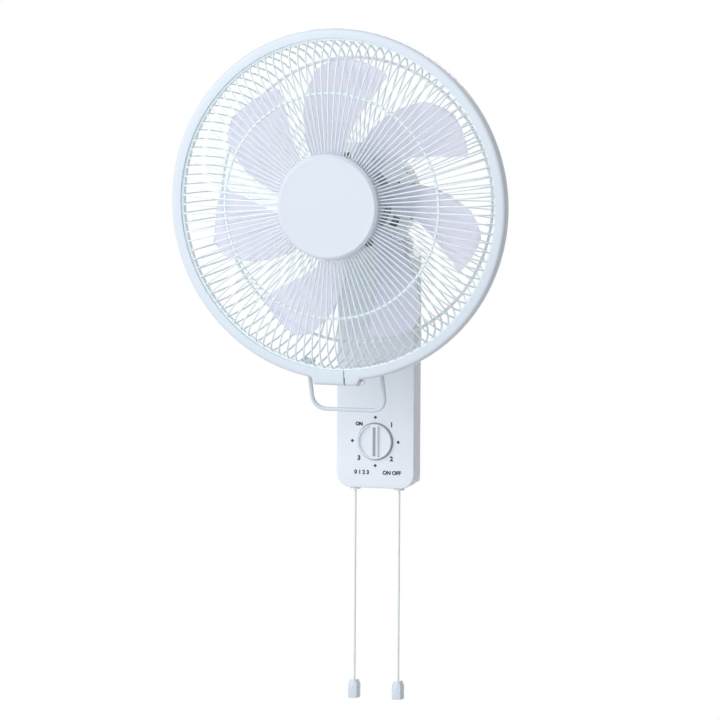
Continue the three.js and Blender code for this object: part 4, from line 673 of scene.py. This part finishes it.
def front_cover():
    """Outlines that step in over a rounded edge, closed by strips across the face and the back."""
    top = TOP_Z + TOP_ROUND_DROP * math.sqrt(1 - ((COVER_BACK - TOP_OUT) / TOP_ROUND_OUT) ** 2)
    depth = COVER_FRONT - COVER_BACK
    rows = [(BOX_DRAFT * k / 4, depth * k / 4) for k in (4, 3, 2, 1)]  # how far in, how far behind the face
    rows += [(BOX_EDGE * (1 - math.cos(a)), BOX_EDGE * (1 - math.sin(a)))
             for a in [math.pi / 2 * k / 6 for k in range(7)]]
    rows.append((BOX_INNER, 0))
    verts, faces, n = [], [], 0
    for inset, behind in rows:
        right = half_outline(inset, top - inset)
        loop = right + [(-x, z) for x, z in right[-2:0:-1]]
        n = len(loop)
        verts += [(x, -max(COVER_BACK, min(top_out(z), COVER_FRONT) - behind), z) for x, z in loop]
    for a in range(len(rows) - 1):
        for i in range(n):
            j = (i + 1) % n
            faces.append([a * n + i, a * n + j, (a + 1) * n + j, (a + 1) * n + i])
    for base in (0, (len(rows) - 1) * n):
        for i in range(n // 2):
            strip = [base + i, base + i + 1, base + (n - i - 1) % n, base + (n - i) % n]
            faces.append(list(dict.fromkeys(strip)))
    add("front_cover_moulded", (verts, faces), shell, "control_box", ["front_cover"], 40)


front_cover()


# ------------------------------------------------------------ dial
def disc(name, profile, x, z, material, body, replaced=(), sides=96):
    """A turned piece on the box's front: (radius, out) about a line along Y."""
    turned = lathe([(r, -out) for r, out in profile], (x, 0, z), sides, closed=False)
    add(name, turned, material, body, replaced, 40)


def dial():
    """A grey ring round the knob, painted shade for the gap between the knob and the box, and the knob: a dish
    with a bar across that carries the pointer's line.
    """
    inner, outer = KNOB_R - 1, KNOB_R + DIAL_SHADE_RING_WIDE
    band = [(inner, SHADE_RING_IN), (outer, SHADE_RING_IN), (outer, SHADE_RING_OUT), (inner, SHADE_RING_OUT)]
    # Painted shade: a grey ring where the gap round the knob lies in shade.
    disc("dial_shade_ring", band, 0, DIAL_Z, grey, "control_box")
    rim, floor_out = KNOB_R - KNOB_RIM, KNOB_FRONT - HOLLOW
    dish = fillet([(0, KNOB_BACK), (KNOB_R, KNOB_BACK), (KNOB_R, KNOB_FRONT), (rim, KNOB_FRONT),
                   (rim, floor_out), (0, floor_out)], [0, 0.3, 0.8, 0.4, 0.8, 0], 5, closed=False)
    disc("timer_knob_dished", dish, 0, DIAL_Z, shell, "timer_dial", ["timer_knob"])
    reach = rim + 0.5
    turns = [math.asin(BAR_HALF / reach) * (k / 6 - 1) for k in range(13)]
    bar = [(reach * math.sin(t), DIAL_Z - reach * math.cos(t)) for t in turns]
    bar += [(-x, 2 * DIAL_Z - z) for x, z in bar]
    add("timer_knob_bar", slab(bar, -KNOB_FRONT + 0.02, -floor_out + 0.3, 0.6, 4), shell, "timer_dial",
        smooth=50)
    half, low, high = POINTER_HALF, DIAL_Z - POINTER_REACH, DIAL_Z + POINTER_REACH
    pointer = fillet([(-half, low), (half, low), (half, high), (-half, high)], 1, 6)
    add("timer_knob_line", slab(pointer, -KNOB_FRONT - 0.1, -KNOB_FRONT + 0.5, 0.05, 1), grey, "timer_dial",
        smooth=40)


dial()


def mark(name, text, x, z, size, weight):
    """A generic number or word printed on the box's front."""
    curve = bpy.data.curves.new(name, "FONT")
    curve.body = text
    curve.size = size * MM
    curve.offset = weight * MM
    curve.extrude = INK * MM
    curve.align_x = "CENTER"
    curve.align_y = "CENTER"
    obj = bpy.data.objects.new(name, curve)
    scene.collection.objects.link(obj)
    obj.rotation_euler = (math.pi / 2, 0, 0)
    obj.location = (x * MM, -(COVER_FRONT + 0.02) * MM, z * MM)
    curve.materials.append(print_grey)
    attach(obj, "control_box")


for k, label in enumerate(DIAL_LABELS):
    degrees = 360 // len(DIAL_LABELS) * k
    a = math.radians(degrees)
    x, z = MARK_R * math.sin(a), DIAL_Z + MARK_R * math.cos(a)
    if label:
        size = DIAL_WORD if len(label) > 1 else DIAL_NUMBER
        mark("dial_mark_%d" % degrees, label, x, z, size, DIAL_BOLD)
    else:
        disc("dial_dot_%d" % degrees, [(0, DOT_IN), (DOT_R, DOT_IN), (DOT_R, DOT_OUT), (0, DOT_OUT)], x, z,
             print_grey, "control_box", sides=4)
for name, text, x, size in CORD_LABELS:
    mark(name, text, x, MARKS_Z, size, CORD_BOLD)


# ------------------------------------------------------------ floor and light
def seen_by(nodes, links):
    """1 for the rays that see the white background: straight, mirrored or through a clear piece."""
    path = nodes.new("ShaderNodeLightPath")
    found = path.outputs["Is Camera Ray"]
    for kind in ("Is Glossy Ray", "Is Transmission Ray"):
        either = nodes.new("ShaderNodeMath")
        either.operation = "MAXIMUM"
        links.new(found, either.inputs[0])
        links.new(path.outputs[kind], either.inputs[1])
        found = either.outputs["Value"]
    return found


FLOOR_R, FLOOR_Z, FLOOR_SIDES = 3, -1.1, 64  # metres
FLOOR_WHITE = 0.9  # how much of the floor is plain white where it is seen as background
floor_turns = [TAU * k / FLOOR_SIDES for k in range(FLOOR_SIDES)]
floor_mesh = bpy.data.meshes.new("floor")
floor_mesh.from_pydata([(FLOOR_R * math.cos(t), FLOOR_R * math.sin(t), FLOOR_Z) for t in floor_turns], [],
                       [list(range(FLOOR_SIDES))])
floor = bpy.data.objects.new("floor", floor_mesh)
scene.collection.objects.link(floor)
pale = bpy.data.materials.new("pale_floor")
pale.use_nodes = True
nodes, links = pale.node_tree.nodes, pale.node_tree.links
shader = nodes["Principled BSDF"]
shader.inputs["Base Color"].default_value = (0.60, 0.61, 0.62, 1)
shader.inputs["Roughness"].default_value = 0.8
glow = nodes.new("ShaderNodeEmission")
share = nodes.new("ShaderNodeMath")
share.operation = "MULTIPLY"
share.inputs[1].default_value = FLOOR_WHITE
mix = nodes.new("ShaderNodeMixShader")
links.new(seen_by(nodes, links), share.inputs[0])
links.new(share.outputs[0], mix.inputs[0])
links.new(shader.outputs[0], mix.inputs[1])
links.new(glow.outputs[0], mix.inputs[2])
links.new(mix.outputs[0], nodes["Material Output"].inputs["Surface"])
floor_mesh.materials.append(pale)

ROOM = 0.285  # the room's light from every side, and below what each side adds
ROOM_SIDES = (("X", -1, 0.31), ("X", 1, -0.285), ("Y", -1, 0.8), ("Y", 1, 0.4), ("Z", 1, 0.11))
world = bpy.data.worlds.new("studio")
scene.world = world
world.use_nodes = True
nodes, links = world.node_tree.nodes, world.node_tree.links
nodes.clear()
seen = nodes.new("ShaderNodeBackground")
seen.inputs["Color"].default_value = (1, 1, 1, 1)
room = nodes.new("ShaderNodeBackground")
room.inputs["Color"].default_value = (1, 1, 1, 1)
place = nodes.new("ShaderNodeTexCoord")
axes = nodes.new("ShaderNodeSeparateXYZ")
links.new(place.outputs["Generated"], axes.inputs["Vector"])
total = None
for axis, side, gain in ROOM_SIDES:
    part = nodes.new("ShaderNodeMapRange")
    part.inputs["From Max"].default_value = side
    part.inputs["To Max"].default_value = gain
    links.new(axes.outputs[axis], part.inputs["Value"])
    both = nodes.new("ShaderNodeMath")
    both.operation = "ADD"
    both.inputs[0].default_value = ROOM
    if total:
        links.new(total, both.inputs[0])
    links.new(part.outputs["Result"], both.inputs[1])
    total = both.outputs["Value"]
links.new(total, room.inputs["Strength"])
mix = nodes.new("ShaderNodeMixShader")
links.new(seen_by(nodes, links), mix.inputs[0])
links.new(room.outputs[0], mix.inputs[1])
links.new(seen.outputs[0], mix.inputs[2])
links.new(mix.outputs[0], nodes.new("ShaderNodeOutputWorld").inputs["Surface"])


def lamp(name, place, size, watts):
    """A square light, in metres, that looks at the middle of the fan."""
    light = bpy.data.lights.new(name, "AREA")
    light.size = size
    light.energy = watts
    obj = bpy.data.objects.new(name, light)
    scene.collection.objects.link(obj)
    obj.location = place
    obj.rotation_euler = (Vector((0, -0.1, 0)) - Vector(place)).to_track_quat("-Z", "Y").to_euler()
    obj.visible_camera = False


lamp("key", (-1.6, -2.6, 1.0), 2.4, 34)
lamp("behind", (-0.6, 2.6, 1.6), 2.0, 28)

scene.view_settings.view_transform = "Standard"
